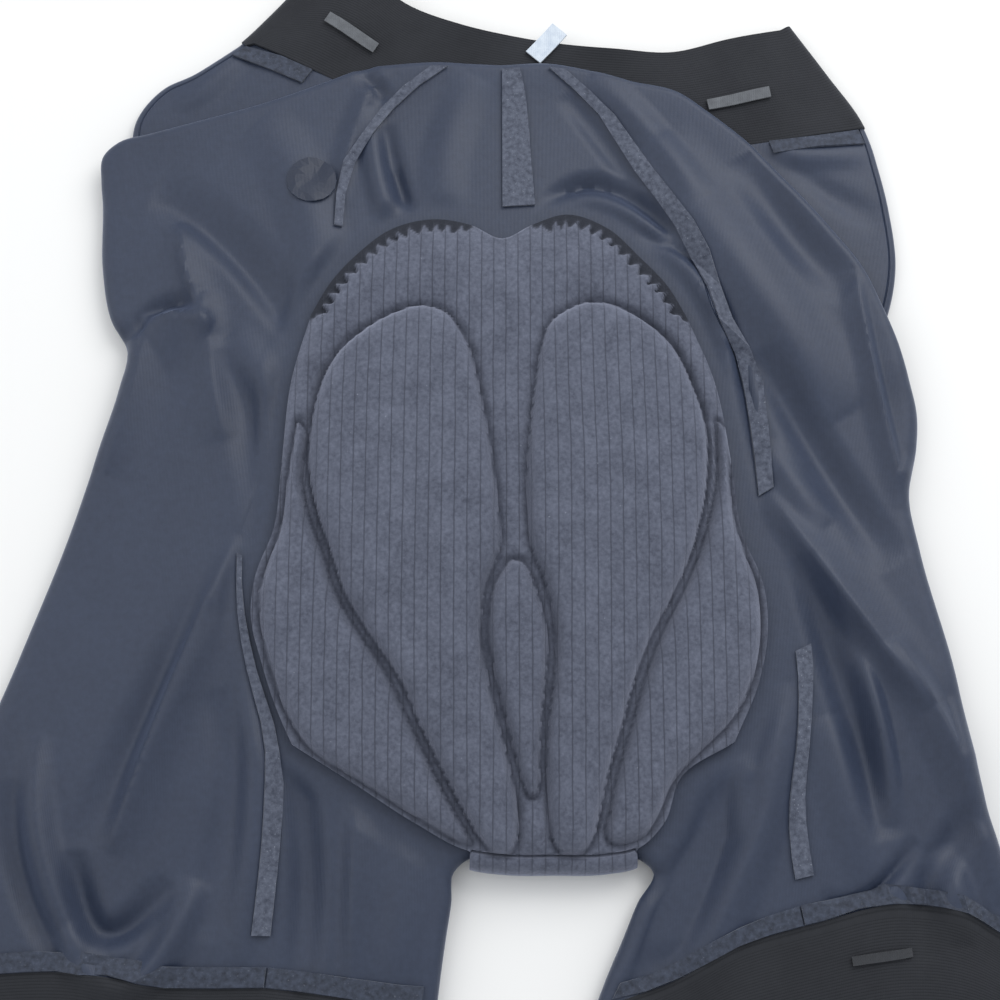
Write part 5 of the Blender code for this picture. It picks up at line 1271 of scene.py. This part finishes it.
def declare(sheet):
    """Works out the cut that a laid sheet's flattened middle sheet has; the result is not kept."""
    area = flat_area(sheet)
    span = np.ptp(sheet.flat, axis=0) * MM
    width, length = (max(side, area / max(other, 0.01) if side * other < area else side)
                     for side, other in ((span[0], span[1]), (span[1], span[0])))
    scale = max(1.0, math.sqrt(area / (width * length)))
    width, length = width * scale * CUT_ALLOWANCE, length * scale * CUT_ALLOWANCE
    area = max(area, LEAST_FILL * width * length)


# Settings that a user would change
class ShortsCloth(bpy.types.PropertyGroup):
    """Sizes and colours of the knit and the elastics."""
    knit_wall: FloatProperty(name="Knit thickness", description="Thickness of the navy knit",
                             default=0.001, min=0.0004, max=0.002, unit="LENGTH")
    elastic_wall: FloatProperty(name="Elastic thickness",
                                 description="Thickness of the waistband and grippers",
                                default=0.0014, min=0.0006, max=0.003, unit="LENGTH")
    navy_dark: FloatVectorProperty(name="Navy, dark", description="Knit colour in its darker patches",
                                   default=(0.020, 0.028, 0.052), subtype="COLOR", size=3)
    navy_light: FloatVectorProperty(name="Navy, light", description="Knit colour in its lighter patches",
                                    default=(0.036, 0.049, 0.086), subtype="COLOR", size=3)
    elastic_dark: FloatVectorProperty(name="Elastic, dark", description="Elastic colour between its ribs",
                                      default=(0.010, 0.011, 0.014), subtype="COLOR", size=3)
    elastic_light: FloatVectorProperty(name="Elastic, light", description="Elastic colour on its ribs",
                                       default=(0.030, 0.032, 0.038), subtype="COLOR", size=3)


class ShortsPad(bpy.types.PropertyGroup):
    """Sizes and colours of the pad."""
    lobe_rise: FloatProperty(name="Lobe rise", description="How far the two lobes stand above the thin cloth",
                             default=0.0066, min=0.001, max=0.012, unit="LENGTH")
    border_rise: FloatProperty(name="Border rise", description="Rise of the soft roll round the lobes",
                               default=0.0028, min=0.0, max=0.006, unit="LENGTH")
    channel_width: FloatProperty(name="Channel width", description="Half width of the sewn channels",
                                 default=0.0017, min=0.0008, max=0.004, unit="LENGTH")
    channel_depth: FloatProperty(name="Channel depth", description="Depth of the sewn channels",
                                 default=0.0016, min=0.0, max=0.003, unit="LENGTH")
    rib_spacing: FloatProperty(name="Rib spacing", description="Distance between the chamois' dark lines",
                               default=0.00485, min=0.001, max=0.01, unit="LENGTH")
    dark: FloatVectorProperty(name="Chamois, dark", description="Darker yarns of the chamois",
                              default=(0.042, 0.048, 0.070), subtype="COLOR", size=3)
    light: FloatVectorProperty(name="Chamois, light", description="Lighter yarns of the chamois",
                               default=(0.125, 0.138, 0.185), subtype="COLOR", size=3)
    # The line colour is also the painted shade in the sewn channels
    line: FloatVectorProperty(name="Chamois, lines", description="Dark lines between the ribs",
                              default=(0.014, 0.017, 0.028), subtype="COLOR", size=3)


class ShortsThread(bpy.types.PropertyGroup):
    """Colours of the sewing."""
    dark: FloatVectorProperty(name="Thread, dark", description="Thread colour in its darker places",
                              default=(0.030, 0.037, 0.060), subtype="COLOR", size=3)
    light: FloatVectorProperty(name="Thread, light", description="Thread colour in its lighter places",
                               default=(0.110, 0.125, 0.170), subtype="COLOR", size=3)


class ShortsStage(bpy.types.PropertyGroup):
    """The camera, the light and the floor."""
    camera_distance: FloatProperty(name="Camera distance", description="From the camera to the garment",
                                   default=0.75, min=0.3, max=3.0, unit="LENGTH")
    camera_tilt: FloatProperty(name="Camera elevation", description="Angle of the view above the surface",
                               default=math.radians(75), min=0.2, max=1.57, subtype="ANGLE")
    light_power: FloatProperty(name="Light power", description="Power of the main soft light",
                               default=9.0, min=0.1, max=200.0, unit="POWER")
    sky: FloatProperty(name="Sky strength", description="Strength of the even light from all round",
                       default=0.75, min=0.0, max=5.0)
    floor: FloatVectorProperty(name="Floor colour", description="Colour of the pale surface",
                               default=(0.86, 0.855, 0.84), subtype="COLOR", size=3)


SETTINGS = {"shorts_cloth": ShortsCloth, "shorts_pad": ShortsPad, "shorts_thread": ShortsThread,
            "shorts_stage": ShortsStage}


def settings(name):
    return getattr(bpy.context.scene, "shorts_" + name)


# Operators
# CAD nodes that show as they are: node, look and material slot
CARRIED_NODES = (
    ("seam_centre_back", "thread", "seam_thread"), ("seam_left_upper", "thread", "seam_thread"),
    ("seam_left_lower", "thread", "seam_thread"), ("seam_right_upper", "thread", "seam_thread"),
    ("seam_right_lower", "thread", "seam_thread"), ("seam_waist_left", "seam", "seam_thread"),
    ("seam_waist_right", "seam", "seam_thread"), ("seam_grip_left_outer", "seam", "seam_thread"),
    ("seam_grip_left_inner", "seam", "seam_thread"), ("seam_grip_right_outer", "seam", "seam_thread"),
    ("seam_grip_right_inner", "seam", "seam_thread"), ("round_patch", "patch", "navy_knit"),
    ("waist_tab_left", "tape", "tab"), ("waist_tab_right", "tape", "tab"), ("grip_tab", "tape_core", "tab"),
    ("pad_label", "seam", "pad_cloth"), ("care_label", "label", "label_cloth"),
    # The tucked fold wears the navy knit darkened as painted shade
    ("tucked_fold", "knit_painted_shade", "navy_knit"),
)


class ShortsOperator(bpy.types.Operator):
    """Base of the shorts' operators: runs build and lets its errors stop the script."""
    bl_options = {"REGISTER", "UNDO"}

    def execute(self, context):
        if bpy.context.mode == "OBJECT":
            bpy.ops.object.select_all(action="DESELECT")
        self.build(finishes())
        return {"FINISHED"}


class SHORTS_OT_panels(ShortsOperator):
    """Back, side, inner leg, upper and front panels of navy knit"""
    bl_idname = "shorts.panels"
    bl_label = "Knit panels"

    def build(self, looks):
        wall = settings("cloth").knit_wall / MM / 2
        for side, half in HALVES.items():
            panels = (
                ("cloth_back_", back_sheet(half), "back_"), ("cloth_side_", side_sheet(half), "side_"),
                ("cloth_inner_", inner_sheet(half), "inner_leg_"),
                ("cloth_upper_", upper_sheet(side), "upper_"),
                ("cloth_front_", front_sheet(side, half), "front_"),
            )
            for name, sheet, node in panels:
                if np.mean(sheet.normals()[:, 2]) < 0:
                    sheet.turn_over()
                piece = shell(name + side, sheet, looks["knit"], wall, wall)
                settle(piece, "navy_knit", node + side)
                declare(sheet)


class SHORTS_OT_elastics(ShortsOperator):
    """The waistband and the two leg grippers"""
    bl_idname = "shorts.elastics"
    bl_label = "Elastics"

    def build(self, looks):
        wall = settings("cloth").elastic_wall / MM / 2
        bands = {"elastic_waist": (waistband_sheet(), "waistband")}
        for side, half in HALVES.items():
            bands["elastic_leg_" + side] = (gripper_sheet(side, half), "grip_" + side)
        for name, (sheet, node) in bands.items():
            top = sheet.points[:, 2] > ELASTIC
            if np.mean(sheet.normals()[top, 2]) < 0:
                sheet.turn_over()
            piece = shell(name, sheet, looks["elastic"], wall, wall)
            settle(piece, "elastic", node)
            declare(sheet)


class SHORTS_OT_pad(ShortsOperator):
    """The pad: two lobes, a keel and two wings between sewn channels, in ribbed chamois"""
    bl_idname = "shorts.pad"
    bl_label = "Pad"

    def build(self, looks):
        sheet, rise, channel, dark = pad_sheet(settings("pad"))
        if np.mean(sheet.normals()[:100, 2]) < 0:
            sheet.turn_over()
        piece = shell("seat_pad", sheet, looks["chamois"], PAD_CLOTH / 2 + rise, PAD_CLOTH / 2, crease=80)
        # The channel mask carries the chamois' painted shade in the sewn channels
        for label, values in (("channel", channel), ("dark rim", dark)):
            layer = piece.data.attributes.new(label, "FLOAT", "POINT")
            layer.data.foreach_set("value", np.concatenate([values, values]))
        settle(piece, "pad_cloth", "pad_base", "pad_lobe_left", "pad_lobe_right", "pad_keel", "pad_wing_left",
               "pad_wing_right")


class SHORTS_OT_trims(ShortsOperator):
    """Gives the carried-over seams, patch, bars and labels their materials"""
    bl_idname = "shorts.trims"
    bl_label = "Seams, bars and labels"

    def build(self, looks):
        for name, look, slot_name in CARRIED_NODES:
            node = bpy.data.objects[name]
            node.data.materials.clear()
            node.data.materials.append(looks[look])


class SHORTS_OT_stage(ShortsOperator):
    """The pale surface, the soft studio light and the camera"""
    bl_idname = "shorts.stage"
    bl_label = "Stage"

    def build(self, looks):
        stage = settings("stage")
        bpy.ops.mesh.primitive_plane_add(size=FLOOR_SIZE, location=(0, 0, -FLOOR_DROP))
        floor = bpy.context.object
        floor.name = "pale_surface"
        bpy.ops.object.transform_apply(location=True, rotation=True, scale=True)
        floor.data.materials.append(made_once("Pale surface", floor_finish, stage.floor))
        target = Vector((-ORIGIN[0] * MM, -ORIGIN[1] * MM, TARGET_HEIGHT))
        back = Vector((0, -math.cos(stage.camera_tilt), math.sin(stage.camera_tilt)))
        bpy.ops.object.camera_add(location=target + back * stage.camera_distance,
                                  rotation=(math.pi / 2 - stage.camera_tilt, 0, 0))
        camera = bpy.context.object
        camera.data.lens = SENSOR / 2 / HALF_VIEW
        camera.data.sensor_width = SENSOR
        camera.data.clip_start = NEAREST_SEEN
        bpy.context.scene.camera = camera
        for name, size, power, place in LIGHTS:
            bpy.ops.object.light_add(type="AREA", location=place)
            light = bpy.context.object
            light.name = name
            light.data.size = size
            light.data.energy = stage.light_power * power
            light.rotation_euler = (Vector((0, 0, 0)) - Vector(place)).to_track_quat("-Z", "Y").to_euler()
        world = bpy.data.worlds.new("Even light")
        world.use_nodes = True
        world.node_tree.nodes["Background"].inputs["Color"].default_value = SKY_COLOUR
        world.node_tree.nodes["Background"].inputs["Strength"].default_value = stage.sky
        bpy.context.scene.world = world
        bpy.context.scene.view_settings.view_transform = "Standard"


OPERATORS = (SHORTS_OT_panels, SHORTS_OT_elastics, SHORTS_OT_pad, SHORTS_OT_trims, SHORTS_OT_stage)


class SHORTS_PT_sidebar(bpy.types.Panel):
    """Lists the shorts' operators and settings."""
    bl_idname = "SHORTS_PT_sidebar"
    bl_label = "Cycling shorts"
    bl_space_type = "VIEW_3D"
    bl_region_type = "UI"
    bl_category = "Shorts"

    def draw(self, context):
        for name in SETTINGS:
            box = self.layout.box()
            for key in getattr(context.scene, name).bl_rna.properties.keys():
                if key not in ("rna_type", "name"):
                    box.prop(getattr(context.scene, name), key)
        for operator in OPERATORS:
            self.layout.operator(operator.bl_idname)


CLASSES = (*SETTINGS.values(), *OPERATORS, SHORTS_PT_sidebar)


def register():
    for item in CLASSES:
        bpy.utils.register_class(item)
    for name, item in SETTINGS.items():
        setattr(bpy.types.Scene, name, PointerProperty(type=item))


def unregister():
    for name in SETTINGS:
        delattr(bpy.types.Scene, name)
    for item in reversed(CLASSES):
        bpy.utils.unregister_class(item)


def main():
    register()
    for operator in OPERATORS:
        group, name = operator.bl_idname.split(".")
        getattr(getattr(bpy.ops, group), name)()


if __name__ == "__main__":
    main()
